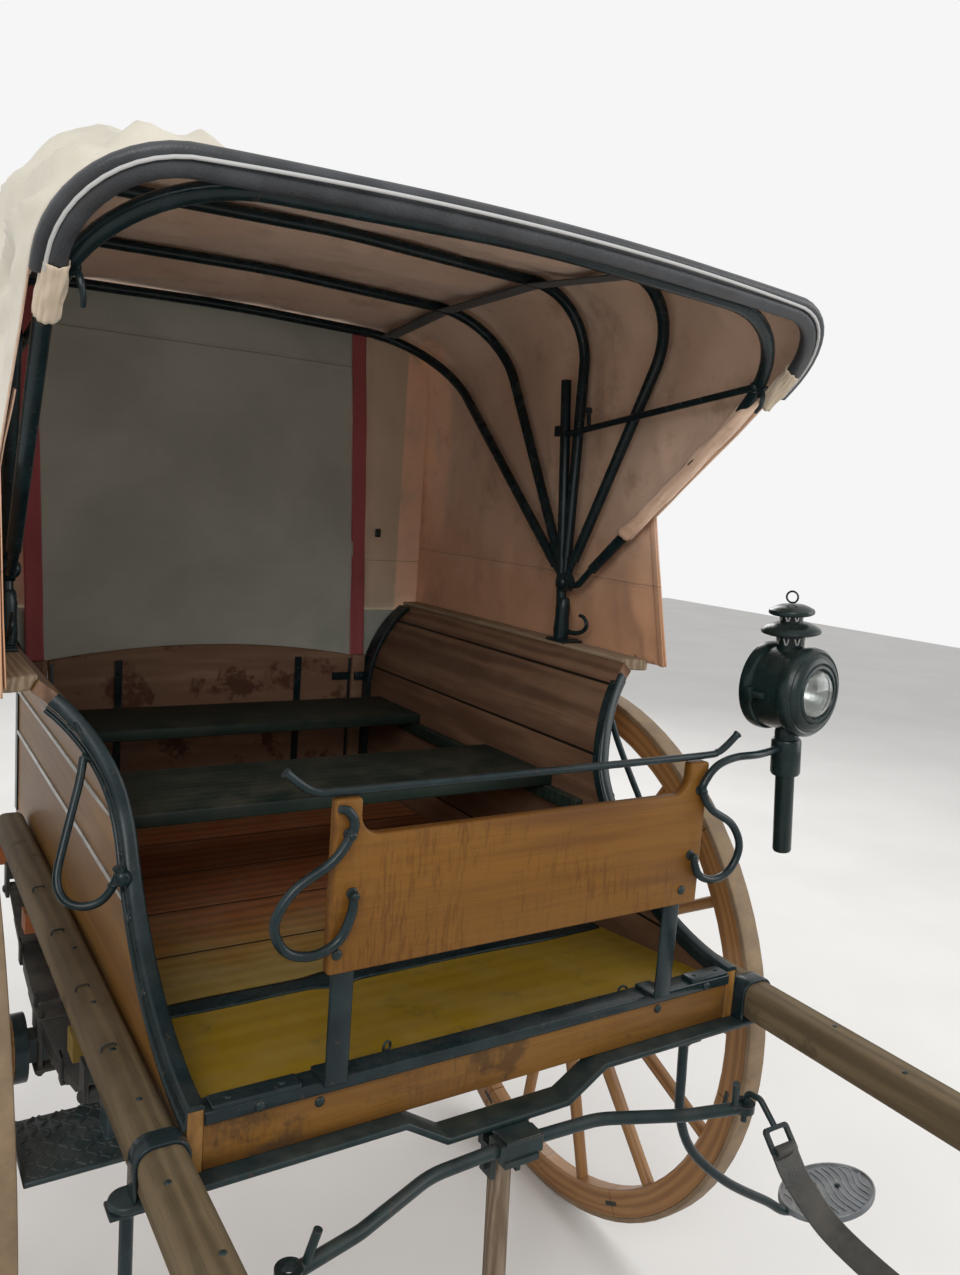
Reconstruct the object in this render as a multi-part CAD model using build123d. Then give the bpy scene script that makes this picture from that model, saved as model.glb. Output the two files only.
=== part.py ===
from build123d import *
import math
import os

# A two-wheeled hooded country cart. Millimetres, ground at Z = 0, axle above the origin,
# the front faces -Y and +X is the cart's own left.

# Wheels and axle
wheel_radius = 650
wheel_clear = 165
tyre_width = 45
tyre_thick = 12
felloe_depth = 58
felloe_width = 46
spoke_count = 14
spoke_root = 19
spoke_tip = 14
spoke_phase = 9
hub_radius = 82
hub_end_radius = 58
hub_inner = 118
hub_outer = 132
hoop_width = 24
hoop_thick = 5
arm_radius = 20
running_gap = 0.05
axle_square = 46
nut_radius = 36
nut_length = 26

# Body box
body_half = 460
panel_thick = 20
body_front = -745
body_rear = 770
floor_top = 870
floor_thick = 22
sill_top = 925
toe_start = -365
toe_rise = 40
strip_width = 48
strip_thick = 6
flare_start = 1150
flare_radius = 297
flare_angle = 54.6
board_joint = 1255
side_curve = {"dip": (-488, 1022), "rise": (-345, 1200), "lean": (-312, 1290), "top": (-250, 1400)}
stile_width = 41
door_gap = 3
bearer_height = 40
bearer_places = (-340, 160, 560)
tail_top = 1243
tail_thick = 22
hinge_pin_radius = 5
tail_iron_place = 245

# Benches
bench_top = 1142
bench_thick = 26
ledger_height = 30
ledger_width = 20
bench_spans = {"bench_front": (-200, 70), "bench_rear": (400, 640)}

# Dashboard and rein rail
dash_half = 320
dash_ear = 37
ear_round = 28
dash_bottom = 1100
dash_top = 1282
dash_ear_top = 1332
dash_front = -787
dash_thick = 20
rail_radius = 8
sill_leg = 12

# Shafts, crossbar and swingletree
shaft_width = 60
strap_thick = 5
shaft_height = 65
shaft_rear = 598
shaft_round = 20
shaft_straight_end = -1400
shaft_tip = -2600
crossbar_thick = 10
crossbar_width = 46
crossbar_drop = 44
swing_reach = 375
swing_sweep = 85
horn_radius = 6
swing_radius = 10
clevis_plate = 10
eye_outer = 18
eye_bore = 9
eye_height = 14
strap_width = 34
strap_leather = 6

# Prop pole
prop_radius = 18
prop_lean = 34
prop_drop = 28
prop_pin = 6

# Springs
leaf_width = 45
leaf_thick = 7
leaf_lengths = (860, 700, 560, 420, 280)
spring_camber = 88

# Hood
cap_rise = 8
canvas_beyond = 60
pivot_inset = 45
pivot_rise = 140
bow_radius = 10
canvas_thick = 4
canvas_edge_rise = 340
shoulder = 160
crown_drop = 14
pivot_start = 62
roof_rises = ((-720, 550), (-310, 674), (30, 700), (430, 688), (810, 642))
bow_tops = (-310, 30, 430, 752)
front_pivot = -50
front_lean = 49.1
front_overhang = 16
flap_y = -325
flap_waist_y = -246
flap_waist_rise = 168
band_height = 34
band_depth = 22
curtain_inset = 15
curtain_hem = 1249
red_strap = 22

seat_gap = 0.3
far = 3000


def block(x0, x1, y0, y1, z0, z1):
    return Pos((x0 + x1) / 2, (y0 + y1) / 2, (z0 + z1) / 2) * Box(abs(x1 - x0), abs(y1 - y0), abs(z1 - z0))


def both_sides(shape):
    return [shape, mirror(shape, Plane.YZ)]


def rod(points, radius, bend):
    if len(points) == 2:
        path = Line(*points)
    else:
        path = FilletPolyline(*points, radius=bend)
    return sweep(Plane(origin=path @ 0, z_dir=path % 0) * Circle(radius), path)


def curved_rod(points, radius):
    path = Spline(*points)
    return sweep(Plane(origin=path @ 0, z_dir=path % 0) * Circle(radius), path)


def bar_x(radius, x0, x1, y, z):
    return Pos((x0 + x1) / 2, y, z) * Rot(0, 90, 0) * Cylinder(radius, abs(x1 - x0))


def bar_y(radius, x, y0, y1, z):
    return Pos(x, (y0 + y1) / 2, z) * Rot(90, 0, 0) * Cylinder(radius, abs(y1 - y0))


def bar_z(radius, x, y, z0, z1):
    return Pos(x, y, (z0 + z1) / 2) * Cylinder(radius, abs(z1 - z0))


def prism_x(points, x0, x1):
    face = make_face(Polyline([(0, y, z) for y, z in points], close=True))
    return Pos(x0, 0, 0) * extrude(face, x1 - x0, dir=(1, 0, 0))


def prism_y(points, y0, y1):
    face = make_face(Polyline([(x, 0, z) for x, z in points], close=True))
    return Pos(0, y0, 0) * extrude(face, y1 - y0, dir=(0, 1, 0))


def save(name, *shapes):
    solids = []
    for shape in shapes:
        solids += list(shape) if isinstance(shape, (list, tuple)) else [shape]
    whole = solids[0] if len(solids) == 1 else Compound(children=[s for s in solids])
    whole.label = name
    export_step(whole, "parts/" + name + ".step")


floor_bottom = floor_top - floor_thick
panel_outer = body_half + panel_thick
door_half = body_half - stile_width - 4 - door_gap
curtain_half = body_half - curtain_inset
shaft_place = panel_outer + strap_thick + shaft_width / 2
wheel_plane = shaft_place + wheel_clear
hinge_y = body_rear + 8
hinge_z = floor_bottom + 6


# Side of the body: a cross-section with a rolled-out top, cut by the outline seen from the side
def flare_point(radius, degrees):
    turn = math.radians(degrees)
    return (body_half + flare_radius - radius * math.cos(turn), flare_start + radius * math.sin(turn))


flare_top_x, flare_top = flare_point(flare_radius, flare_angle)
cap_low_x, cap_bottom = flare_point(flare_radius - panel_thick, flare_angle)
canvas_half = flare_top_x + canvas_beyond
pivot_place = canvas_half - pivot_inset


def side_section(grow, y0, y1):
    inner = flare_radius + grow
    outer = flare_radius - panel_thick - grow
    half = flare_angle / 2
    corners = [(body_half - grow, floor_bottom), (panel_outer + grow, floor_bottom)]
    start_in, mid_in, end_in = [flare_point(inner, a) for a in (0, half, flare_angle)]
    start_out, mid_out, end_out = [flare_point(outer, a) for a in (0, half, flare_angle)]
    at = lambda p: (p[0], 0, p[1])
    edges = [
        Line(at(corners[0]), at(corners[1])),
        Line(at(corners[1]), at(start_out)),
        ThreePointArc(at(start_out), at(mid_out), at(end_out)),
        Line(at(end_out), at(end_in)),
        ThreePointArc(at(end_in), at(mid_in), at(start_in)),
        Line(at(start_in), at(corners[0])),
    ]
    return Pos(0, y0, 0) * extrude(make_face(edges), y1 - y0, dir=(0, 1, 0))


def side_outline(grow):
    top = flare_top + 100
    bottom = floor_bottom - 40
    at = {name: (0, y - grow, z) for name, (y, z) in side_curve.items()}
    at["dip"] = (0, side_curve["dip"][0] - grow * 0.7, side_curve["dip"][1] + grow * 0.7)
    low = (0, body_front - grow, sill_top + 8 + grow / 3)
    edges = [
        ThreePointArc(low, at["dip"], at["rise"]),
        ThreePointArc(at["rise"], at["lean"], at["top"]),
        Polyline(at["top"], (0, at["top"][1], top), (0, body_rear + grow, top),
                 (0, body_rear + grow, bottom), (0, body_front - grow, bottom), low),
    ]
    return extrude(make_face(edges), far, dir=(1, 0, 0))


side_whole = side_section(0, body_front, body_rear) & side_outline(0)
side_low = side_whole & block(0, far, -far, far, 0, board_joint)
side_high = side_whole & block(0, far, -far, far, board_joint, far)
save_pairs = {"side_panel": side_low, "top_board": side_high}

edge_band = side_outline(6) - side_outline(-22)
edge_zone = block(0, far, -far, body_rear - 100, sill_top + 6, flare_top - 1)
edge_iron = (side_section(5, body_front - 10, body_rear) & edge_band & edge_zone) - side_section(0, -far, far)
edge_iron += (side_section(5, body_front - 10, body_rear) & edge_band & edge_zone) - side_outline(0)

rear_zone = block(0, far, body_rear - 26, body_rear + 6, floor_top, flare_top - 1)
rear_iron = (side_section(4, body_rear - 40, body_rear + 6) & rear_zone) - side_whole

# The cap rail's inner edge lies on the slanted end of the rolled-out board
cap_top = flare_top + cap_rise
cap_outer = canvas_half - canvas_thick - seat_gap
cap_points = [(flare_top_x, flare_top), (cap_low_x, cap_bottom), (cap_outer, cap_bottom), (cap_outer, cap_top),
              (flare_top_x, cap_top)]
cap_front = side_curve["top"][0] - 18
cap_rail = prism_y(cap_points, cap_front, body_rear + 10)
pivot_height = cap_top + pivot_rise
canvas_edge = pivot_height + canvas_edge_rise

floor = block(-body_half, body_half, toe_start, body_rear - 28, floor_bottom, floor_top)
toe_points = [(toe_start, floor_bottom), (toe_start, floor_top), (body_front + 26, floor_top + toe_rise),
              (body_front + 26, floor_bottom)]
toe_board = prism_x(toe_points, -body_half, body_half)
toe_slope = toe_rise / (toe_start - body_front - 26)
strip_rise = strip_width * toe_slope
strip_points = [(toe_start, floor_top), (toe_start - strip_width, floor_top + strip_rise),
                (toe_start - strip_width, floor_top + strip_rise + strip_thick), (toe_start, floor_top + strip_thick)]
floor_strip = prism_x(strip_points, -body_half + 6, body_half - 6)
front_board = block(-body_half, body_half, body_front, body_front + 26, floor_bottom, sill_top)
sill_iron = block(-body_half, body_half, body_front - 6, body_front + 30, sill_top, sill_top + 6) + \
    block(-body_half, body_half, body_front - 6, body_front, sill_top - sill_leg, sill_top + 6)

bearers = [block(-shaft_place - 30, shaft_place + 30, y - 22, y + 22, floor_bottom - bearer_height, floor_bottom)
           for y in bearer_places]
floor_end = body_rear - 28
rear_bearer = block(-body_half, body_half, floor_end - 56, floor_end, floor_bottom - bearer_height, floor_bottom)

stile_in = door_half + door_gap
stile = block(stile_in, stile_in + stile_width - seat_gap, body_rear - tail_thick, body_rear, floor_bottom, tail_top)

# Tailboard with its irons, hinged along the bottom edge
tail_front = body_rear - tail_thick
tailboard = block(-door_half, door_half, tail_front, body_rear, floor_bottom + 4, tail_top)
tail_irons = []
tail_hinges = []
for side in (-1, 1):
    x = side * tail_iron_place
    inside = block(x - 9, x + 9, tail_front - 6, tail_front, floor_top + 8, tail_top)
    strap = block(x - 18, x + 18, body_rear, body_rear + 5, floor_bottom + 14, floor_bottom + 220)
    knuckle = bar_x(hinge_pin_radius + 4, x - 18, x + 18, hinge_y + 2, hinge_z)
    neck = block(x - 18, x + 18, body_rear, hinge_y, hinge_z, floor_bottom + 14)
    bore = bar_x(hinge_pin_radius + running_gap, x - 20, x + 20, hinge_y + 2, hinge_z)
    outside = (strap + neck + knuckle) - bore - block(x - 20, x + 20, tail_front, body_rear, 0, far)
    tail_irons += [inside, outside]
    pin = bar_x(hinge_pin_radius, x - 30, x + 30, hinge_y + 2, hinge_z)
    hinge = pin
    for ear_x in (x - 24, x + 24):
        hinge += block(ear_x - 4, ear_x + 4, floor_end, hinge_y + 9, hinge_z - 20, hinge_z + 8)
        tailboard -= block(ear_x - 4.3, ear_x + 4.3, tail_front - 1, body_rear + 1, floor_bottom + 3, floor_top)
    tail_hinges.append(hinge)
latch = block(door_half - 60, door_half - 4, tail_front - 5, tail_front, tail_top - 70, tail_top - 48)

ledger = block(body_half - ledger_width, body_half, -310, 660,
               bench_top - bench_thick - ledger_height, bench_top - bench_thick)

# Dashboard: a board with two ears, carried by two flat stays
ear_in = dash_half - dash_ear
dash_points = [(-dash_half, dash_bottom), (dash_half, dash_bottom), (dash_half, dash_ear_top),
               (ear_in, dash_ear_top), (ear_in, dash_top), (-ear_in, dash_top), (-ear_in, dash_ear_top),
               (-dash_half, dash_ear_top)]
dash_back = dash_front + dash_thick
dashboard = prism_y(dash_points, dash_front, dash_back)
ear_corner = block(ear_in - ear_round, ear_in, dash_front, dash_back, dash_top, dash_top + ear_round) - \
    bar_y(ear_round, ear_in - ear_round, dash_front - 1, dash_back + 1, dash_top + ear_round)
for corner in both_sides(ear_corner):
    dashboard += corner
stay_x0, stay_x1 = 272, 306
stay = block(stay_x0, stay_x1, dash_back, dash_back + 6, sill_top + 6, dash_top - 30) + \
    block(stay_x0, stay_x1, dash_back, body_front + 30, sill_top + 6, sill_top + 12)

rail_z = dash_ear_top + rail_radius
rail_y = dash_front + dash_thick / 2
rail_end, rail_bend = dash_half + 68, dash_half + 26
rail_points = [(-rail_end, rail_y - 8, rail_z + 30), (-rail_bend, rail_y, rail_z), (rail_bend, rail_y, rail_z),
               (rail_end, rail_y - 8, rail_z + 30)]
rein_rail = rod(rail_points, rail_radius, 40)

# An S-shaped hook beside each ear: how far each point lies outside the dashboard's end and below the rein rail
scroll_y = dash_front - rail_radius
scroll_table = ((-26, 150), (-12, 188), (26, 203), (66, 190), (78, 154), (50, 114), (2, 84), (-18, 50))
scroll_points = [(dash_half + out, scroll_y, rail_z - below) for out, below in scroll_table]
scroll = mirror(curved_rod(scroll_points, rail_radius), Plane.YZ)

# Lamp in a socket on the end of the other hook
lamp_x, lamp_y = dash_half + 200, -765
lamp_drum = 70
lamp_lens = 40
lamp_turn = 6
lamp_lean = 6
arm_z = rail_z - 4
drum_z = arm_z + 104
socket_low, socket_high = arm_z - 46, arm_z + 16
arm_table = ((4, 26), (46, 4), (116, 4))
arm_points = [(dash_half + out, scroll_y, rail_z - below) for out, below in arm_table]
lamp_place = Pos(lamp_x, lamp_y, arm_z) * Rot(0, -lamp_lean, 0) * Pos(-lamp_x, -lamp_y, -arm_z)
socket = lamp_place * bar_z(25, lamp_x, lamp_y, socket_low, socket_high)
socket_bore = lamp_place * bar_z(16 + running_gap, lamp_x, lamp_y, socket_low - 10, socket_high + 10)
lamp_arm = curved_rod(scroll_points + arm_points + [(lamp_x, scroll_y, arm_z)], rail_radius)
lamp_bracket = lamp_arm + socket - socket_bore
drum_front, drum_rear = -50, 38
drum = bar_y(lamp_drum, 0, drum_front + 12, drum_rear, 0)
drum += bar_y(lamp_drum + 4, 0, drum_front, drum_front + 12, 0)
drum += bar_y(lamp_drum - 14, 0, drum_rear, drum_rear + 8, 0)
lens_room = bar_y(lamp_lens + 8, 0, drum_front - 1, drum_rear - 10, 0)
bezel = bar_y(lamp_lens + 20, 0, drum_front - 8, drum_front, 0) - bar_y(lamp_lens, 0, drum_front - 9, drum_front + 1, 0)
chimney = bar_z(23, 0, 0, lamp_drum - 6, lamp_drum + 66)
cap_low = Pos(0, 0, lamp_drum + 30) * Cone(49, 27, 18)
cap_high = Pos(0, 0, lamp_drum + 64) * Cone(37, 12, 20)
lamp_head = (drum + chimney + cap_low + cap_high) - lens_room + bezel
lamp_head = Pos(lamp_x, lamp_y, drum_z) * Rot(0, 0, lamp_turn) * lamp_head
tube = bar_z(16, lamp_x, lamp_y, arm_z - 186, drum_z - lamp_drum + 10)
lamp_body = lamp_place * (lamp_head + tube)
lens = bar_y(lamp_lens + 8 - seat_gap, 0, drum_front + 0.3, drum_front + 4, 0)
lamp_glass = lamp_place * Pos(lamp_x, lamp_y, drum_z) * Rot(0, 0, lamp_turn) * lens

# Shafts run past the body and taper to the tip
shaft_mid = floor_bottom + shaft_height / 2


def shaft_section(y, width, height, rise):
    plane = Plane(origin=(shaft_place, y, shaft_mid + rise), x_dir=(1, 0, 0), z_dir=(0, -1, 0))
    return plane * RectangleRounded(width, height, width / shaft_width * shaft_round)


shaft_sections = [
    shaft_section(shaft_straight_end, shaft_width, shaft_height, 0),
    shaft_section(shaft_straight_end - 500, shaft_width - 4, shaft_height - 5, 14),
    shaft_section(shaft_straight_end - 900, shaft_width - 12, shaft_height - 15, 52),
    shaft_section(shaft_tip, shaft_width - 22, shaft_height - 27, 98),
]
shaft_straight = shaft_rear - shaft_straight_end
shaft = extrude(shaft_section(shaft_straight_end, shaft_width, shaft_height, 0), shaft_straight, dir=(0, 1, 0))
shaft += loft(shaft_sections, ruled=True)

crossbar_top = floor_bottom
crossbar_bottom = crossbar_top - crossbar_thick
crossbar_y0, crossbar_y1 = body_front - 28, body_front - 28 + crossbar_width
strap_half = shaft_width / 2
strap_y0, strap_y1 = body_front - 24, body_front + 8
bow_plane = Plane(origin=(shaft_place, strap_y1, shaft_mid), x_dir=(1, 0, 0), z_dir=(0, -1, 0))
bow_width, bow_height = shaft_width + 2 * strap_thick, shaft_height + 2 * strap_thick
bow_outside = RectangleRounded(bow_width, bow_height, shaft_round + strap_thick)
bow_inside = RectangleRounded(shaft_width, shaft_height, shaft_round)
shaft_strap = extrude(bow_plane * (bow_outside - bow_inside), strap_y1 - strap_y0) & \
    block(0, far, -far, far, shaft_mid, far)
for leg_x in (shaft_place - strap_half - strap_thick, shaft_place + strap_half):
    shaft_strap += block(leg_x, leg_x + strap_thick, strap_y0, strap_y1, crossbar_top, shaft_mid)

drop_x0, drop_x1 = 110, 180
low = crossbar_drop
bar_end = shaft_place + 37
bar_points = [(-bar_end, crossbar_bottom), (-drop_x1, crossbar_bottom), (-drop_x0, crossbar_bottom - low),
              (drop_x0, crossbar_bottom - low), (drop_x1, crossbar_bottom), (bar_end, crossbar_bottom),
              (bar_end, crossbar_top), (drop_x1 - 4, crossbar_top), (drop_x0 - 4, crossbar_top - low),
              (4 - drop_x0, crossbar_top - low), (4 - drop_x1, crossbar_top), (-bar_end, crossbar_top)]
crossbar = prism_y(bar_points, crossbar_y0, crossbar_y1)
bar_y_mid = (crossbar_y0 + crossbar_y1) / 2
for side in (-1, 1):
    crossbar += bar_z(crossbar_width / 2, side * bar_end, bar_y_mid, crossbar_bottom, crossbar_top)

# Swingletree on an upright pin in a clevis under the crossbar
pin_y = crossbar_y0 - 14
clevis_top = crossbar_bottom - low
hub_top = clevis_top - 6
hub_bottom = hub_top - 26
swing_z = (hub_top + hub_bottom) / 2
pin_radius = 8
clevis = block(-30, 30, pin_y - 20, crossbar_y1 - 4, hub_top + seat_gap, clevis_top)
clevis += block(-30, 30, pin_y - 20, crossbar_y1 - 4, hub_bottom - clevis_plate, hub_bottom - seat_gap)
clevis += block(-30, 30, crossbar_y1 - 16, crossbar_y1 - 4, hub_bottom - clevis_plate, clevis_top)
clevis += bar_z(pin_radius, 0, pin_y, hub_bottom - 16, hub_top + 6)

hub_block = block(-38, 38, pin_y - 17, pin_y + 15, hub_bottom, hub_top)
swingletree = hub_block - bar_z(pin_radius + running_gap, 0, pin_y, hub_bottom - 5, hub_top + 5)
arm_y = pin_y - swing_sweep
for side in (-1, 1):
    arm = rod([(side * 30, pin_y - 2, swing_z), (side * swing_reach * 0.4, pin_y - 8, swing_z),
               (side * swing_reach * 0.76, arm_y + 22, swing_z), (side * swing_reach, arm_y, swing_z)],
              swing_radius, [140, 120])
    horn = [(side * (swing_reach - 6), arm_y, swing_z), (side * (swing_reach - 18), arm_y - 8, swing_z + 52)]
    arm += rod(horn, horn_radius, 0)
    eye_x = side * (swing_reach + eye_outer - 4)
    swingletree += arm + bar_z(eye_outer, eye_x, arm_y, swing_z - eye_height / 2, swing_z + eye_height / 2)
    swingletree -= bar_z(eye_bore, eye_x, arm_y, swing_z - 20, swing_z + 20)
swingletree -= bar_z(pin_radius + running_gap, 0, pin_y, hub_bottom - 5, hub_top + 5)

# A bent hook through the left eye holds a buckle frame, and the trace strap is folded round its far bar
link_bar = 7
link_width = strap_width + 2 * link_bar + 4
link_height = 42
buckle_drop = 48
link_x = swing_reach + eye_outer - 4
hook_radius = 5
hook_y = arm_y - (eye_bore - hook_radius - seat_gap)
buckle_y, buckle_z = arm_y - 66, swing_z + 2
hook_points = [(link_x, hook_y, swing_z - 24), (link_x, hook_y, swing_z + 26), (link_x, hook_y - 28, swing_z + 30),
               (link_x, buckle_y, buckle_z)]
buckle_place = Pos(link_x, buckle_y, buckle_z) * Rot(buckle_drop - 90, 0, 0)
far_bar = link_bar - link_height
frame_plane = Plane(origin=(0, -link_bar / 2, far_bar / 2), x_dir=(1, 0, 0), z_dir=(0, 1, 0))
frame_outside = RectangleRounded(link_width, link_height, 8)
frame_inside = RectangleRounded(link_width - 2 * link_bar, link_height - 2 * link_bar, 3)
buckle = extrude(frame_plane * (frame_outside - frame_inside), link_bar)
link = rod(hook_points, hook_radius, 12) + buckle_place * buckle
fold_half = link_bar / 2 + strap_leather
hole_half = link_bar / 2 + seat_gap
fold = block(-strap_width / 2, strap_width / 2, -fold_half, fold_half, far_bar - fold_half, far_bar + fold_half)
fold -= block(-strap_width, strap_width, -hole_half, hole_half, far_bar - hole_half, far_bar + hole_half)
strap_start = buckle_place * Pos(0, 0, far_bar - fold_half + 1)
start_y, start_z = strap_start.position.Y, strap_start.position.Z
fall = math.radians(buckle_drop)
trace_points = [(link_x, start_y, start_z), (link_x, start_y - 30 * math.cos(fall), start_z - 30 * math.sin(fall)),
                (link_x, start_y - 100, start_z - 62), (link_x, start_y - 220, start_z - 70)]
trace_path = FilletPolyline(*trace_points, radius=[110, 160])
trace_plane = Plane(origin=trace_path @ 0, x_dir=(1, 0, 0), z_dir=trace_path % 0)
trace_strap = buckle_place * fold + sweep(trace_plane * Rectangle(strap_width, strap_leather), trace_path)

# Prop pole hinged below the clevis, its foot a little ahead of the pin
clevis_low = hub_bottom - clevis_plate
prop_y = bar_y_mid
prop_pin_z = clevis_low - prop_drop
prop_angle = math.degrees(math.atan2(prop_lean, prop_pin_z))
prop_reach = prop_pin_z / math.cos(math.radians(prop_angle))
prop = Pos(0, prop_y, prop_pin_z) * Rot(-prop_angle, 0, 0) * bar_z(prop_radius, 0, 0, -prop_reach - 30, 10)
prop -= block(-200, 200, -1200, 0, -100, 0)
prop -= bar_x(prop_pin + running_gap, -40, 40, prop_y, prop_pin_z)
ear_gap = prop_radius + 1
prop_hanger = bar_x(prop_pin, -ear_gap - 14, ear_gap + 14, prop_y, prop_pin_z)
for side in (-1, 1):
    near, beyond = side * ear_gap, side * (ear_gap + 8)
    prop_hanger += block(near, beyond, prop_y - 18, prop_y + 14, prop_pin_z - 14, clevis_low)

# Axle and side springs
axle_z = wheel_radius
shoulder_x = wheel_plane - hub_inner
axle_half = axle_square / 2
nut_in, nut_out = wheel_plane + hub_outer + seat_gap, wheel_plane + hub_outer + nut_length
axle = block(-shoulder_x, shoulder_x, -axle_half, axle_half, axle_z - axle_half, axle_z + axle_half)
axle += bar_x(arm_radius, -nut_out, nut_out, 0, axle_z)
for side in (-1, 1):
    axle += bar_x(nut_radius, side * nut_in, side * nut_out, 0, axle_z)

spring_seat = axle_z + axle_half


def leaf(length, level):
    reach = length / 2
    radius = ((leaf_lengths[0] / 2) ** 2 + spring_camber ** 2) / (2 * spring_camber)
    rise = radius - math.sqrt(radius ** 2 - reach ** 2)
    low = spring_seat + level * leaf_thick
    end, end_top = low + rise, low + rise + leaf_thick
    arcs = [ThreePointArc((0, -reach, end), (0, 0, low), (0, reach, end)),
            ThreePointArc((0, reach, end_top), (0, 0, low + leaf_thick), (0, -reach, end_top)),
            Line((0, reach, end), (0, reach, end_top)),
            Line((0, -reach, end_top), (0, -reach, end))]
    return Pos(shaft_place - leaf_width / 2, 0, 0) * extrude(make_face(arcs), leaf_width, dir=(1, 0, 0))


spring = leaf(leaf_lengths[0], len(leaf_lengths) - 1)
for order, length in enumerate(leaf_lengths[1:]):
    spring += leaf(length, len(leaf_lengths) - 2 - order)
eye_z = spring_seat + (len(leaf_lengths) - 0.5) * leaf_thick + spring_camber
eye_reach = leaf_lengths[0] / 2
for y in (-eye_reach, eye_reach):
    spring += bar_x(13, shaft_place - leaf_width / 2, shaft_place + leaf_width / 2, y, eye_z)
clip_top = spring_seat + len(leaf_lengths) * leaf_thick + 6
spring += block(shaft_place - 30, shaft_place + 30, -34, 34, spring_seat, clip_top)
hangers = []
for y in (-eye_reach, eye_reach):
    hanger = block(shaft_place - 30, shaft_place + 30, y - 16, y + 16, eye_z - 16, floor_bottom)
    gap = leaf_width / 2 + seat_gap
    hanger -= block(shaft_place - gap, shaft_place + gap, y - 40, y + 40, eye_z - 60, eye_z + 26)
    hangers.append(hanger)

# Wheels
rim_outer = wheel_radius - tyre_thick
rim_inner = rim_outer - felloe_depth


def disc(radius, x0, x1):
    return bar_x(radius, x0, x1, 0, axle_z)


tyre = disc(wheel_radius, wheel_plane - tyre_width / 2, wheel_plane + tyre_width / 2) - \
    disc(rim_outer, wheel_plane - tyre_width, wheel_plane + tyre_width)
rim = disc(rim_outer, wheel_plane - felloe_width / 2, wheel_plane + felloe_width / 2) - \
    disc(rim_inner, wheel_plane - felloe_width, wheel_plane + felloe_width)
spoke_low, spoke_high = hub_radius - 8, rim_inner + 4
for n in range(spoke_count):
    turn = 180 + spoke_phase + n * 360 / spoke_count
    spoke = Pos(0, 0, (spoke_low + spoke_high) / 2) * Cone(spoke_root, spoke_tip, spoke_high - spoke_low)
    rim += Pos(wheel_plane, 0, axle_z) * Rot(turn, 0, 0) * spoke
hub_in, hub_out = wheel_plane - hub_inner, wheel_plane + hub_outer
hub_tip_radius = hub_end_radius - 8
hub_profile = [(hub_in, hub_end_radius + hoop_thick), (hub_in + hoop_width, hub_end_radius + hoop_thick),
               (hub_in + hoop_width, hub_end_radius + 2), (wheel_plane - 40, hub_radius), (wheel_plane + 40, hub_radius),
               (hub_out - hoop_width, hub_tip_radius + 4), (hub_out - hoop_width, hub_tip_radius + hoop_thick + 2),
               (hub_out, hub_tip_radius + hoop_thick)]
hub_bore = arm_radius + running_gap
hub_line = [(hub_in, hub_bore)] + hub_profile + [(hub_out, hub_bore)]
hub_face = make_face(Polyline([(x, 0, r) for x, r in hub_line], close=True))
hub = Pos(0, 0, axle_z) * revolve(hub_face, Axis.X)
rim -= disc(hub_radius, wheel_plane - 60, wheel_plane + 60)


# Hood: the roof is a loft of arches, and each bow is an upside-down U fanned about the pivot
def roof_top(y):
    for (y0, rise0), (y1, rise1) in zip(roof_rises, roof_rises[1:]):
        if y0 <= y <= y1:
            return pivot_height + rise0 + (rise1 - rise0) * (y - y0) / (y1 - y0)


def arch_face(y, top, inset, bottom):
    half = canvas_half - inset
    crown = top - inset
    side_top = crown - crown_drop - shoulder
    knee = 0.29 * shoulder
    eaves = crown - crown_drop
    right = [(half, y, side_top), (half - knee, y, eaves - knee), (half - shoulder, y, eaves)]
    left = [(-x, y2, z) for x, y2, z in right]
    crown_arc = ThreePointArc(right[2], (0, y, crown), left[2])
    return make_face([
        Line((half, y, bottom), right[0]), ThreePointArc(*right), crown_arc, ThreePointArc(left[2], left[1], left[0]),
        Line(left[0], (-half, y, bottom)), Line((-half, y, bottom), (half, y, bottom))])


def roof_body(inset, bottom):
    return loft([arch_face(y, pivot_height + rise, inset, bottom) for y, rise in roof_rises], ruled=True)


def front_slab(near, behind):
    slab = block(-far, far, near, behind, -far, far)
    return Pos(0, front_pivot, pivot_height) * Rot(front_lean, 0, 0) * slab


roof_inside = roof_body(canvas_thick + seat_gap, curtain_hem - 60)
keep = front_slab(-front_overhang, far)
roof = (roof_body(0, canvas_edge) - roof_body(canvas_thick, canvas_edge - 50)) & keep
front_band = (roof_body(0, canvas_edge) - roof_body(band_height, canvas_edge - 50)) & \
    front_slab(-front_overhang - band_depth, -front_overhang)


def bow(y_top, z_top, base_y):
    lean = math.atan2(base_y - y_top, z_top - pivot_height)
    side = canvas_half - canvas_thick - bow_radius - 4
    drop = 20
    up = lambda z: (z - pivot_height) / math.cos(lean)
    bend = shoulder / math.cos(lean)
    points = [(-pivot_place - 2, pivot_start), (-side, up(z_top - drop)), (0, up(z_top)), (side, up(z_top - drop)),
              (pivot_place + 2, pivot_start)]
    path = FilletPolyline(*[(x, 0, z) for x, z in points], radius=[bend, far, bend])
    hoop = sweep(Plane(origin=path @ 0, z_dir=path % 0) * Circle(bow_radius), path)
    return Pos(0, base_y, pivot_height) * Rot(math.degrees(lean), 0, 0) * hoop


bow_drop = canvas_thick + bow_radius + 4
bows = [bow(y, roof_top(y) - bow_drop, 0) for y in bow_tops]
slope = math.tan(math.radians(front_lean))
front_y = -670
front_z = pivot_height + (front_pivot - front_y) / slope
front_bow = bow(front_y, front_z, front_pivot)
bows.append(front_bow)


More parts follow.
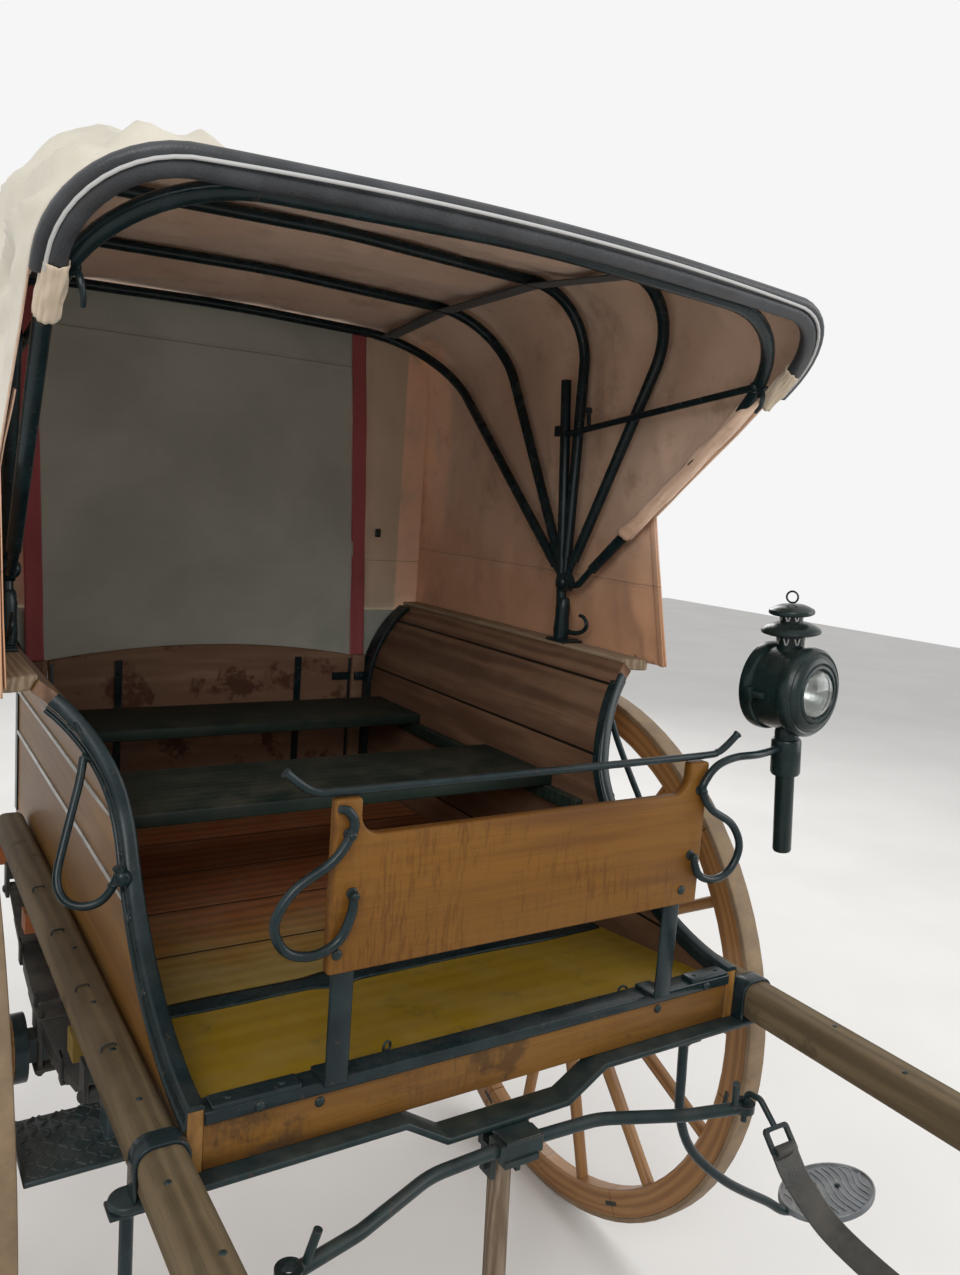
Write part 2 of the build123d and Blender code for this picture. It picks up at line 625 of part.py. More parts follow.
# Flattened ends of the bows gather on one boss, and the front bow's comes in from the side
def finger(lean, base_y):
    tip = (pivot_place, base_y - pivot_start * math.sin(lean), pivot_height + pivot_start * math.cos(lean))
    return tip


pivot_boss = bar_x(22, pivot_place - 12, pivot_place + 12, 0, pivot_height)
for y_top in bow_tops:
    lean = math.atan2(-y_top, roof_top(y_top) - bow_drop - pivot_height)
    pivot_boss += rod([(pivot_place, 0, pivot_height), finger(lean, 0)], bow_radius - 2, 0)
front_tip = finger(math.radians(front_lean), front_pivot)
front_finger = [(pivot_place, 0, pivot_height - 6), (pivot_place, front_pivot, pivot_height - 2), front_tip]
pivot_boss += rod(front_finger, bow_radius - 2, 30)
post_top = (pivot_place, 60, pivot_height + 470)
post = rod([(pivot_place, 0, cap_top + 4), post_top], 12, 0)
post_foot = block(pivot_place - 14, pivot_place + 34, -26, 26, cap_top, cap_top + 8)
hood_post = pivot_boss + post + post_foot
for hoop in bows:
    hood_post -= hoop
strut_z = pivot_height + 420
strut_y = front_pivot - (strut_z - pivot_height) * slope
strut_x = pivot_place - 4
strut_tip = Pos(strut_x, strut_y, strut_z) * Sphere(11) + bar_x(6, strut_x, pivot_place + 26, strut_y, strut_z)
strut_start = (strut_x, 36, pivot_height + 345)
strut = (rod([strut_start, (strut_x, strut_y, strut_z)], 7, 0) + strut_tip) - post - front_bow

side_top = canvas_edge - seat_gap
side_front = front_pivot - (side_top - pivot_height) * slope - front_overhang
side_rear = body_rear + 35
side_low_edge = cap_bottom + 4
side_points = [(side_front, side_top), (flap_waist_y, pivot_height + flap_waist_rise), (flap_y, side_low_edge),
               (side_rear, side_low_edge), (side_rear, side_top)]
hood_side = prism_x(side_points, canvas_half - canvas_thick, canvas_half)
quarter_out = canvas_half - canvas_thick - seat_gap
quarter = block(curtain_half + red_strap + 4, quarter_out, side_rear - canvas_thick, side_rear, cap_top + seat_gap, far)
quarter &= roof_inside

curtain_lean = math.degrees(math.atan2(-30, roof_top(body_rear) - curtain_hem))


def hung(x0, x1, thick):
    sheet = Pos(0, body_rear - 6, curtain_hem) * Rot(curtain_lean, 0, 0) * block(x0, x1, 0, thick, 0, far)
    return sheet & roof_inside


curtain = hung(-curtain_half, curtain_half, canvas_thick)
red_straps = both_sides(hung(curtain_half + seat_gap, curtain_half + red_strap, canvas_thick))

# Grab handles on the sides, the two steps and the tread plate inside the right wheel
handle_points = [(panel_outer + 44, -300, 1262), (panel_outer + 82, -345, 1150), (panel_outer + 76, -372, 1084),
                 (panel_outer + 20, -398, 1112)]
handle = rod(handle_points, 9, [30, 24])
handle += bar_x(13, panel_outer, panel_outer + 44, -300, 1262)
handle += bar_x(13, panel_outer - 10, panel_outer + 22, -398, 1112)
handle -= side_section(0, -far, far)
handle -= edge_iron

step_top = 452
step_thick = 12
step_x, step_y = shaft_place + 237, body_front - 47
rod_end = step_top - step_thick - 15
step_tail = [(step_x - 146, step_y + 13, rod_end + 54), (step_x - 98, step_y + 5, rod_end),
             (step_x, step_y, rod_end)]
step_pad = extrude(Plane(origin=(step_x, step_y, step_top - step_thick)) * Ellipse(96, 58), step_thick)
step_boss = bar_z(16, step_x, step_y, rod_end, step_top - step_thick)
left_rod = [(366, prop_y, crossbar_bottom - 8), (374, prop_y, 700), (410, prop_y - 4, 622), (486, prop_y - 20, 548)]
left_rod += step_tail
right_x = bar_end
right_rod = [(right_x, prop_y, crossbar_bottom - 8), (right_x, prop_y, 640), (right_x + 14, prop_y - 12, 540)]
right_rod += step_tail
step_left = rod(left_rod, 12, [120, 120, 160, 120, 50]) + step_pad + step_boss
step_left += block(344, 392, crossbar_y0, crossbar_y1, crossbar_bottom - 8, crossbar_bottom)
step_right = rod(right_rod, 12, [100, 60, 60, 50]) + step_pad + step_boss
step_right += bar_z(20, right_x, prop_y, crossbar_bottom - 8, crossbar_bottom)
step_right = mirror(step_right, Plane.YZ)

tread_top = 804
tread_y0, tread_y1 = -612, -470
tread_out = -wheel_plane + tyre_width / 2 + 9
tread_in = -shaft_place + 2
tread_mid = (tread_y0 + tread_y1) / 2
tread_plate = block(tread_out, tread_in, tread_y0, tread_y1, tread_top - 8, tread_top)
tread_plate += block(tread_in - 24, tread_in, tread_mid - 25, tread_mid + 25, tread_top, floor_bottom)

os.makedirs("parts", exist_ok=True)
for name, shape in save_pairs.items():
    left, right = both_sides(shape)
    save(name + "_left", left)
    save(name + "_right", right)
save("floor", floor)
save("toe_board", toe_board)
save("front_board", front_board)
save("sill_iron", sill_iron)
save("floor_strip", floor_strip)
save("floor_bearers", *bearers, rear_bearer)
save("edge_irons", both_sides(edge_iron))
save("rear_irons", both_sides(rear_iron))
save("cap_rails", both_sides(cap_rail))
save("rear_stiles", both_sides(stile))
save("tailboard", tailboard)
save("tail_irons", *tail_irons, latch)
save("tail_hinges", *tail_hinges)
for name, (y0, y1) in bench_spans.items():
    save(name, block(-body_half + 1, body_half - 1, y0, y1, bench_top - bench_thick, bench_top))
save("bench_ledgers", both_sides(ledger))
save("dashboard", dashboard)
save("dash_stays", both_sides(stay))
save("rein_rail", rein_rail)
save("scroll_bracket", scroll)
save("lamp_bracket", lamp_bracket)
save("lamp_body", lamp_body)
save("lamp_glass", lamp_glass)
for name, side_shape in zip(("shaft_left", "shaft_right"), both_sides(shaft)):
    save(name, side_shape)
save("shaft_straps", both_sides(shaft_strap))
save("crossbar", crossbar)
save("swingletree_clevis", clevis)
save("swingletree", swingletree)
save("trace_strap", trace_strap)
save("trace_link", link)
save("prop_hanger", prop_hanger)
save("prop_pole", prop)
save("axle", axle)
for name, side_shape in zip(("spring_left", "spring_right"), both_sides(spring)):
    save(name, side_shape)
save("spring_hangers", [m for s in hangers for m in both_sides(s)])
for name, shape in {"tyre": tyre, "rim": rim, "hub": hub}.items():
    left, right = both_sides(shape)
    save("wheel_" + name + "_left", left)
    save("wheel_" + name + "_right", right)
save("hood_bows", bows)
save("hood_posts", both_sides(hood_post))
save("hood_struts", both_sides(strut))
save("hood_roof", roof)
for name, side_shape in zip(("hood_side_left", "hood_side_right"), both_sides(hood_side)):
    save(name, side_shape)
save("hood_quarters", both_sides(quarter))
save("hood_curtain", curtain)
save("curtain_straps", red_straps)
save("hood_front_band", front_band)
save("grab_handles", both_sides(handle))
save("steps", step_left, step_right)
save("tread_plate", tread_plate)
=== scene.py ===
from math import asin, atan2, cos, hypot, pi, radians, sin, tan

import bmesh
import bpy
from mathutils import Matrix, Vector, noise


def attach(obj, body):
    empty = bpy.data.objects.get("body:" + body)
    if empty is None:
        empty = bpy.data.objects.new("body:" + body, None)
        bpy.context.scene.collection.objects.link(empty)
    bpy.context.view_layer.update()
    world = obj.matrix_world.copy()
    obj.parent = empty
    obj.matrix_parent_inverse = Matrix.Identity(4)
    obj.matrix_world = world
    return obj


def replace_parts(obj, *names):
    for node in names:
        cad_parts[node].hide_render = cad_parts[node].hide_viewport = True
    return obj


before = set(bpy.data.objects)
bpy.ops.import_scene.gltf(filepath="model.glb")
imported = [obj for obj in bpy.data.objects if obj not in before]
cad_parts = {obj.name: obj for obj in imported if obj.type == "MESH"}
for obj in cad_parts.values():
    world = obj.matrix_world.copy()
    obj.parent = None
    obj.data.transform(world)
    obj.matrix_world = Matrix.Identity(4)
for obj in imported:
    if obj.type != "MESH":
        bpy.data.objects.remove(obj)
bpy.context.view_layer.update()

sides = ((1, "Left"), (-1, "Right"))  # the cart's left is +X, its front is -Y
print("frame loaded,", len(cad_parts), "nodes")


def clamp(value, low=0.0, high=1.0):
    return max(low, min(high, value))


def smooth(value):
    t = clamp(value)
    return t * t * (3 - 2 * t)


def mix(a, b, t):
    return a + (b - a) * t


def toObject(bm, name, body, materials, sharp=35):
    mesh = bpy.data.meshes.new(name)
    bm.to_mesh(mesh)
    bm.free()
    for material in materials if isinstance(materials, (list, tuple)) else [materials]:
        mesh.materials.append(material)
    mesh.shade_smooth()
    mesh.set_sharp_from_angle(angle=radians(sharp))
    piece = bpy.data.objects.new(name, mesh)
    bpy.context.scene.collection.objects.link(piece)
    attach(piece, body)
    return piece


# the same for swept and turned parts, whose faces are turned outward first
def sweptObject(bm, name, body, material, sharp=35):
    bmesh.ops.recalc_face_normals(bm, faces=bm.faces)
    return toObject(bm, name, body, material, sharp)


def bevelEdges(bm, width, segments=2, sharp=30):
    chosen = [e for e in bm.edges if e.is_manifold and e.calc_face_angle(0) > radians(sharp)]
    if chosen:
        bmesh.ops.bevel(bm, geom=chosen, offset=width, offset_type="OFFSET", segments=segments,
                        profile=0.5, affect="EDGES", clamp_overlap=True, material=-1)


# a merged copy of a node's mesh, without the edges across its flat faces
def nodeMesh(nodeName):
    bm = bmesh.new()
    bm.from_mesh(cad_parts[nodeName].data)
    bmesh.ops.remove_doubles(bm, verts=bm.verts, dist=1e-5)
    bmesh.ops.dissolve_limit(bm, angle_limit=radians(0.6), verts=bm.verts, edges=bm.edges)
    return bm


# a node's own shape with its hard edges rounded off
def dressed(nodeName, material, width, sharp=30):
    bm = nodeMesh(nodeName)
    bevelEdges(bm, width, 2, sharp)
    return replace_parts(toObject(bm, nodeName + "Dressed", "cart", material), nodeName)


# puts a finished part into the mesh that is being built
def joinInto(bm, part, matrix):
    bmesh.ops.transform(part, matrix=matrix, verts=part.verts)
    bmesh.ops.recalc_face_normals(part, faces=part.faces)
    scratch = bpy.data.meshes.new("scratch")
    part.to_mesh(scratch)
    part.free()
    bm.from_mesh(scratch)
    bpy.data.meshes.remove(scratch)


# turns +Z to the given direction
def facing(direction):
    return Vector(direction).normalized().to_track_quat("Z", "Y").to_matrix().to_4x4()


# a matrix from a place and the three directions of its axes
def axesAt(place, x, y, z):
    return Matrix.Translation(place) @ Matrix((x, y, z)).transposed().to_4x4()


def addBlock(bm, low, high, bevel=0.0015, segments=2, matrix=Matrix()):
    part = bmesh.new()
    low, high = Vector(low), Vector(high)
    made = bmesh.ops.create_cube(part, size=1)["verts"]
    bmesh.ops.scale(part, vec=high - low, verts=made)
    bmesh.ops.translate(part, vec=(high + low) / 2, verts=made)
    bevelEdges(part, bevel, segments)
    joinInto(bm, part, matrix)


# a shape turned round an axis from pairs of radius and height
def addLathe(bm, profile, place=(0, 0, 0), direction=(0, 0, 1), steps=32, matrix=Matrix()):
    part = bmesh.new()
    ring = [part.verts.new((r, 0, z)) for r, z in profile]
    edges = [part.edges.new(pair) for pair in zip(ring, ring[1:])]
    bmesh.ops.spin(part, geom=ring + edges, cent=(0, 0, 0), axis=(0, 0, 1), angle=2 * pi, steps=steps,
                   use_merge=True)
    bmesh.ops.remove_doubles(part, verts=part.verts, dist=1e-6)
    joinInto(bm, part, matrix @ Matrix.Translation(place) @ facing(direction))


# a bolt's or rivet's round head
def addDome(bm, place, direction, radius, height):
    curve = [(radius * cos(a * pi / 8), height * sin(a * pi / 8)) for a in range(5)]
    profile = [(0, -0.001), (radius, -0.001)] + curve[:-1] + [(0, height)]
    addLathe(bm, profile, place, direction, 12)


def addHexNut(bm, place, direction, radius, height):
    part = bmesh.new()
    bmesh.ops.create_cone(part, segments=6, radius1=radius, radius2=radius, depth=height, cap_ends=True)
    bevelEdges(part, height * 0.16, 2)
    lifted = Matrix.Translation((0, 0, height / 2))
    joinInto(bm, part, Matrix.Translation(place) @ facing(direction) @ lifted)


def addRing(bm, place, direction, radius, tube, steps, matrix=Matrix()):
    turns = [2 * pi * i / 8 for i in range(9)]
    profile = [(radius + tube * cos(t), tube * sin(t)) for t in turns]
    addLathe(bm, profile, place, direction, steps, matrix)


# a smooth line through the given points
def smoothLine(points, steps):
    pts = [Vector(p) for p in points]
    line = []
    for i in range(len(pts) - 1):
        before = pts[i - 1] if i else pts[i] * 2 - pts[i + 1]
        after = pts[i + 2] if i + 2 < len(pts) else pts[i + 1] * 2 - pts[i]
        for s in range(steps):
            t = s / steps
            a, b, c, d = before, pts[i], pts[i + 1], after
            line.append(0.5 * (2 * b + (c - a) * t + (2 * a - 5 * b + 4 * c - d) * t * t +
                               (3 * b - a - 3 * c + d) * t ** 3))
    line.append(pts[-1])
    return line


# pulls a ring of verts along a line; up, one direction or one for each step, keeps it from rolling
def sweepRing(bm, section, line, up=(0, 0, 1), scale=None):
    frames = []
    last = len(line) - 1
    for i, point in enumerate(line):
        along = (line[min(i + 1, last)] - line[max(i - 1, 0)]).normalized()
        side = (up(i) if callable(up) else Vector(up)).cross(along).normalized()
        high = along.cross(side)
        size = scale(i / last) if scale else 1
        wide, tall = size if isinstance(size, tuple) else (size, size)
        frames.append(axesAt(point, side * wide, high * tall, along))
    ring = [bm.verts.new(frames[0] @ Vector((x, y, 0))) for x, y in section]
    edges = [bm.edges.new((ring[i], ring[(i + 1) % len(ring)])) for i in range(len(ring))]
    first = edges
    for i in range(1, len(frames)):
        made = bmesh.ops.extrude_edge_only(bm, edges=edges)["geom"]
        verts = [g for g in made if isinstance(g, bmesh.types.BMVert)]
        edges = [g for g in made if isinstance(g, bmesh.types.BMEdge) and g.is_boundary]
        bmesh.ops.transform(bm, matrix=frames[i] @ frames[i - 1].inverted(), verts=verts)
    for end in (first, edges):
        bmesh.ops.holes_fill(bm, edges=end, sides=len(section))


def circleSection(radius, steps=12):
    return [(radius * cos(2 * pi * i / steps), radius * sin(2 * pi * i / steps)) for i in range(steps)]


# a flat bar with its corners cut off
def flatSection(width, thick, corner=None):
    w, t = width / 2, thick / 2
    c = corner or thick * 0.3
    return [(w, -t + c), (w, t - c), (w - c, t), (c - w, t), (-w, t - c), (-w, c - t), (c - w, -t),
            (w - c, -t)]


def ovalSection(wide, high, steps=14):
    def bent(value):  # makes the oval a little squarer than an ellipse
        return abs(value) ** 0.75 * (1 if value > 0 else -1)
    turns = [2 * pi * i / steps for i in range(steps)]
    return [(wide / 2 * bent(cos(t)), high / 2 * bent(sin(t))) for t in turns]


# a cloth sheet from an even grid; place gives (point, flat x, flat y) for u and v from 0 to 1
def clothSheet(name, place, columns, rows, materials, thick):
    bm = bmesh.new()
    verts = bmesh.ops.create_grid(bm, x_segments=columns, y_segments=rows, size=0.5)["verts"]
    flat = {}
    for v in verts:
        point, x, y = place(v.co.x + 0.5, v.co.y + 0.5)
        v.co = point
        flat[v] = (x, y)
    uvLayer = bm.loops.layers.uv.new("clothFlat")
    for face in bm.faces:
        for loop in face.loops:
            loop[uvLayer].uv = flat[loop.vert]
    piece = toObject(bm, name, "cart", materials, sharp=80)
    solid = piece.modifiers.new("thickness", "SOLIDIFY")
    solid.thickness = thick
    solid.offset = 0
    solid.material_offset = 1 if len(materials) > 1 else 0
    solid.material_offset_rim = 0
    return piece


def lineLength(place, along, fixed):
    spots = [place(*((i / 60, fixed) if along == "u" else (fixed, i / 60)))[0] for i in range(61)]
    return sum((b - a).length for a, b in zip(spots, spots[1:]))


# works out the size a sheet was cut to, from its longest row and its longest column; the size is not kept
def cutSheet(piece, place):
    width, length = [max(lineLength(place, along, fixed / 4) for fixed in range(5)) for along in "uv"]
    return piece


# one sheet on each side; placeOn(side) gives its place, and under, which names what left and right rest on,
# is not used
def sheetPair(name, placeOn, columns, rows, materials, thick, under):
    pair = []
    for (side, word), below in zip(sides, under):
        piece = clothSheet(name + word, placeOn(side), columns, rows, materials[::side], thick)
        pair.append(cutSheet(piece, placeOn(side)))
    return pair


def newGroup(name, inputs, outputs):
    group = bpy.data.node_groups.new(name, "ShaderNodeTree")
    for label, kind, value in inputs:
        socket = group.interface.new_socket(name=label, in_out="INPUT", socket_type="NodeSocket" + kind)
        if value is not None:
            socket.default_value = value
    for label, kind in outputs:
        group.interface.new_socket(name=label, in_out="OUTPUT", socket_type="NodeSocket" + kind)
    source = group.nodes.new("NodeGroupInput")
    sink = group.nodes.new("NodeGroupOutput")
    return group, source.outputs, sink.inputs


def add(tree, kind, **settings):
    node = tree.nodes.new("ShaderNode" + kind)
    for key, value in settings.items():
        setattr(node, key, value)
    return node


# links a socket to another one, or gives it a value
def feed(tree, socket, value):
    if isinstance(value, bpy.types.NodeSocket):
        tree.links.new(value, socket)
    else:
        socket.default_value = value


# links or sets several inputs of a node, by their names
def feedAll(tree, node, **values):
    for label, value in values.items():
        feed(tree, node.inputs[label.replace("_", " ")], value)
    return node.outputs


def maths(tree, operation, a, b=0.5, c=None, bounded=False):
    node = add(tree, "Math", operation=operation, use_clamp=bounded)
    feed(tree, node.inputs[0], a)
    feed(tree, node.inputs[1], b)
    if c is not None:
        feed(tree, node.inputs[2], c)
    return node.outputs[0]


def times(tree, a, b, bounded=False):
    return maths(tree, "MULTIPLY", a, b, bounded=bounded)


# a * b + c
def timesPlus(tree, a, b, c, bounded=False):
    return maths(tree, "MULTIPLY_ADD", a, b, c, bounded)


def less(tree, a, b):
    return maths(tree, "SUBTRACT", a, b)


def noiseAt(tree, vector, scale, detail=4.0, rough=0.55, distortion=0.0):
    return feedAll(tree, add(tree, "TexNoise"), Vector=vector, Scale=scale, Detail=detail,
                   Roughness=rough, Distortion=distortion)["Fac"]


# 0 at low and 1 at high, or the other way round where low is the larger
def ramp(tree, value, low, high):
    node = add(tree, "MapRange", interpolation_type="SMOOTHSTEP")
    return feedAll(tree, node, Value=value, From_Min=low, From_Max=high)["Result"]


def stretched(tree, vector, scale):
    return feedAll(tree, add(tree, "Mapping"), Vector=vector, Scale=scale)["Vector"]


def axisOf(tree, vector, axis):
    split = add(tree, "SeparateXYZ")
    feed(tree, split.inputs[0], vector)
    return split.outputs[axis]


def scaledBy(tree, vector, factor):
    node = add(tree, "VectorMath", operation="SCALE")
    feed(tree, node.inputs[0], vector)
    feed(tree, node.inputs["Scale"], factor)
    return node.outputs[0]


def blendColour(tree, amount, a, b):
    node = add(tree, "Mix", data_type="RGBA", clamp_factor=True)
    feed(tree, node.inputs["Factor"], amount)
    for socket, value in ((node.inputs[6], a), (node.inputs[7], b)):
        feed(tree, socket, value if isinstance(value, bpy.types.NodeSocket) else (*value, 1))
    return node.outputs[2]


def bump(tree, shader, height, distance):
    node = add(tree, "Bump")
    feedAll(tree, node, Height=height, Distance=distance, Strength=1.0)
    feed(tree, shader.inputs["Normal"], node.outputs[0])


def makeGrainGroup():
    group, source, sink = newGroup("woodGrain", [("Vector", "Vector", None), ("Scale", "Float", 1.0)],
                                   [("Figure", "Float"), ("Fibre", "Float"), ("Height", "Float")])
    board = scaledBy(group, source["Vector"], source["Scale"])
    broad = noiseAt(group, stretched(group, board, (0.35, 5.0, 5.0)), 3.2, 3.0, 0.5, 1.2)
    wave = add(group, "TexWave", wave_type="BANDS", bands_direction="Y", wave_profile="SIN")
    bands = feedAll(group, wave, Vector=stretched(group, board, (0.12, 1.0, 1.0)), Scale=13.0,
                    Distortion=5.0, Detail=4.0, Detail_Scale=1.4)["Fac"]
    figure = timesPlus(group, bands, 0.3, times(group, broad, 0.7))
    fibre = noiseAt(group, stretched(group, board, (4.0, 190.0, 190.0)), 1.0, 5.0, 0.6, 0.3)
    pores = ramp(group, noiseAt(group, stretched(group, board, (14.0, 620.0, 620.0)), 1.0, 2.0), 0.55, 0.75)
    height = timesPlus(group, figure, 0.5, times(group, fibre, 0.5))
    feed(group, sink["Figure"], figure)
    feed(group, sink["Fibre"], less(group, fibre, times(group, pores, 0.25)))
    feed(group, sink["Height"], less(group, height, times(group, pores, 0.3)))
    return group


# where edges are rubbed bare, and patches of wear on the flats
def makeWearGroup():
    inputs = [("Vector", "Vector", None), ("Width", "Float", 0.004), ("Amount", "Float", 0.5)]
    group, source, sink = newGroup("edgeWear", inputs, [("Edge", "Float"), ("Patches", "Float")])
    rounded = add(group, "Bevel", samples=4)
    feed(group, rounded.inputs["Radius"], source["Width"])
    dot = add(group, "VectorMath", operation="DOT_PRODUCT")
    feed(group, dot.inputs[0], rounded.outputs["Normal"])
    feed(group, dot.inputs[1], add(group, "NewGeometry").outputs["Normal"])
    turned = ramp(group, less(group, 1.0, dot.outputs["Value"]), 0.01, 0.16)
    broken = noiseAt(group, source["Vector"], 34.0, 6.0, 0.68)
    patches = noiseAt(group, source["Vector"], 9.0, 7.0, 0.66)
    edge = times(group, turned, ramp(group, broken, 0.38, 0.62))
    feed(group, sink["Edge"], times(group, edge, source["Amount"], bounded=True))
    threshold = timesPlus(group, source["Amount"], -0.14, 0.72)
    feed(group, sink["Patches"], ramp(group, patches, threshold, maths(group, "ADD", threshold, 0.09)))
    return group


def makeDustGroup():
    group, source, sink = newGroup("settledDust", [("Vector", "Vector", None), ("Amount", "Float", 0.4)],
                                   [("Dust", "Float")])
    upward = ramp(group, axisOf(group, add(group, "NewGeometry").outputs["Normal"], "Z"), 0.15, 1.0)
    cloud = ramp(group, noiseAt(group, source["Vector"], 12.0, 6.0, 0.65), 0.32, 0.72)
    settled = times(group, timesPlus(group, upward, 0.75, 0.25), cloud)
    feed(group, sink["Dust"], times(group, settled, source["Amount"], bounded=True))
    return group


def makeWeaveGroup():
    group, source, sink = newGroup("clothWeave", [("Vector", "Vector", None), ("Scale", "Float", 130.0)],
                                   [("Thread", "Float"), ("Height", "Float"), ("Stain", "Float")])
    threads = []
    for direction in ("X", "Y"):
        wave = add(group, "TexWave", wave_type="BANDS", bands_direction=direction)
        threads.append(feedAll(group, wave, Vector=source["Vector"], Scale=source["Scale"],
                               Distortion=0.6, Detail=1.0)["Fac"])
    crossing = times(group, threads[0], threads[1])
    slub = noiseAt(group, stretched(group, source["Vector"], (9.0, 120.0, 1.0)), 1.0, 3.0)
    thread = timesPlus(group, crossing, 0.5, times(group, slub, 0.5))
    stain = noiseAt(group, source["Vector"], 2.6, 7.0, 0.62, 0.4)
    feed(group, sink["Thread"], thread)
    feed(group, sink["Height"], maths(group, "ADD", thread, times(group, stain, 0.6)))
    feed(group, sink["Stain"], stain)
    return group


# boards side by side along one coordinate: a tone for each board and a dark line between them
def makeBoardGroup():
    inputs = [("Across", "Float", 0.0), ("Width", "Float", 0.12), ("Seam", "Float", 0.0015)]
    group, source, sink = newGroup("boardLayout", inputs, [("Tone", "Float"), ("Gap", "Float")])
    count = maths(group, "DIVIDE", source["Across"], source["Width"])
    tone = add(group, "TexWhiteNoise", noise_dimensions="1D")
    feed(group, tone.inputs["W"], maths(group, "FLOOR", count, 0.0))
    middle = maths(group, "ABSOLUTE", less(group, maths(group, "FRACT", count, 0.0), 0.5), 0.0)
    distance = times(group, less(group, 0.5, middle), source["Width"])
    clear = ramp(group, distance, source["Seam"], times(group, source["Seam"], 2.4))
    feed(group, sink["Tone"], tone.outputs["Value"])
    feed(group, sink["Gap"], less(group, 1.0, clear))
    return group


grainGroup = makeGrainGroup()
wearGroup = makeWearGroup()
dustGroup = makeDustGroup()
weaveGroup = makeWeaveGroup()
boardGroup = makeBoardGroup()
print("shader groups made")


def newMaterial(name):
    material = bpy.data.materials.new(name)
    material.use_nodes = True
    tree = material.node_tree
    shader = tree.nodes["Principled BSDF"]
    place = add(tree, "TexCoord").outputs["Object"]
    return material, tree, shader, place


def useGroup(tree, group, **values):
    node = tree.nodes.new("ShaderNodeGroup")
    node.node_tree = group
    return feedAll(tree, node, **values)


# light and dark are the two ends of the grain; worn shows at edges and scuffs
def makeWood(name, light, dark, worn, along="X", boards=None, gloss=0.35, coat=0.0, wear=0.5, dust=0.25,
             scale=1.0, depth=0.0006, inside=None, fade=None, flecks=0.0, fibre=0.45, grainFrom=None):
    material, tree, shader, place = newMaterial(name)
    turns = {"X": (0, 0, 0), "Y": (0, 0, pi / 2), "Z": (0, pi / 2, 0)}
    start = add(tree, "Attribute", attribute_name=grainFrom).outputs["Vector"] if grainFrom else place
    vector = feedAll(tree, add(tree, "Mapping"), Vector=start, Rotation=turns[along])["Vector"]
    if boards:
        layout = useGroup(tree, boardGroup, Across=axisOf(tree, place, boards[0]), Width=boards[1])
        shift = add(tree, "CombineXYZ")
        feedAll(tree, shift, X=times(tree, layout["Tone"], 7.0), Y=times(tree, layout["Tone"], 3.0))
        moved = add(tree, "VectorMath", operation="ADD")
        feed(tree, moved.inputs[0], vector)
        feed(tree, moved.inputs[1], shift.outputs[0])
        vector = moved.outputs[0]
        gap = layout["Gap"]
    grain = useGroup(tree, grainGroup, Vector=vector, Scale=scale)
    marks = useGroup(tree, wearGroup, Vector=place, Amount=wear)
    settled = useGroup(tree, dustGroup, Vector=place, Amount=dust)["Dust"]
    if inside:  # the side that faces the middle of the body has its own two tones
        normalX = axisOf(tree, add(tree, "NewGeometry").outputs["Normal"], "X")
        inward = maths(tree, "LESS_THAN", times(tree, normalX, axisOf(tree, place, "X")), 0.0)
        light = blendColour(tree, inward, light, inside[0])
        dark = blendColour(tree, inward, dark, inside[1])
        gap = times(tree, gap, inward)
    if fade:  # towards the front the boards take another tone
        front = timesPlus(tree, noiseAt(tree, place, 7.0, 5.0, 0.6), 0.3, axisOf(tree, place, "Y"))
        front = ramp(tree, front, fade[1], fade[0])
        light = blendColour(tree, front, light, fade[2])
        dark = blendColour(tree, front, dark, fade[3])
    tone = blendColour(tree, ramp(tree, grain["Figure"], 0.3, 0.7), dark, light)
    if flecks:  # a rippled figure across the grain, in places
        ripples = noiseAt(tree, stretched(tree, vector, (210.0, 26.0, 26.0)), 1.0, 3.0, 0.6)
        patches = ramp(tree, noiseAt(tree, place, 4.5, 2.0), 0.42, 0.62)
        ticks = times(tree, ramp(tree, ripples, 0.48, 0.66), patches)
        tone = blendColour(tree, times(tree, ticks, flecks), tone, dark)
    tone = blendColour(tree, times(tree, ramp(tree, grain["Fibre"], 0.62, 0.2), fibre), tone, dark)
    if boards:
        tone = scaledBy(tree, tone, timesPlus(tree, layout["Tone"], 0.4, 0.8))
    scuff = maths(tree, "MAXIMUM", marks["Edge"], times(tree, marks["Patches"], 0.55 * wear))
    tone = blendColour(tree, scuff, tone, worn)
    tone = blendColour(tree, times(tree, settled, 0.6), tone, (0.33, 0.26, 0.18))
    height = grain["Height"]
    if boards:
        tone = blendColour(tree, gap, tone, (0.008, 0.006, 0.004))
        height = less(tree, height, times(tree, gap, 2.5))
    feed(tree, shader.inputs["Base Color"], tone)
    shader.inputs["Specular IOR Level"].default_value = 0.2
    rough = timesPlus(tree, scuff, 0.3, timesPlus(tree, grain["Fibre"], 0.18, gloss))
    feed(tree, shader.inputs["Roughness"], timesPlus(tree, settled, 0.3, rough, bounded=True))
    if coat:
        clean = less(tree, 1.0, maths(tree, "MAXIMUM", scuff, settled))
        feed(tree, shader.inputs["Coat Weight"], times(tree, clean, coat, bounded=True))
        shader.inputs["Coat Roughness"].default_value = 0.16
    bump(tree, shader, height, depth)
    return material


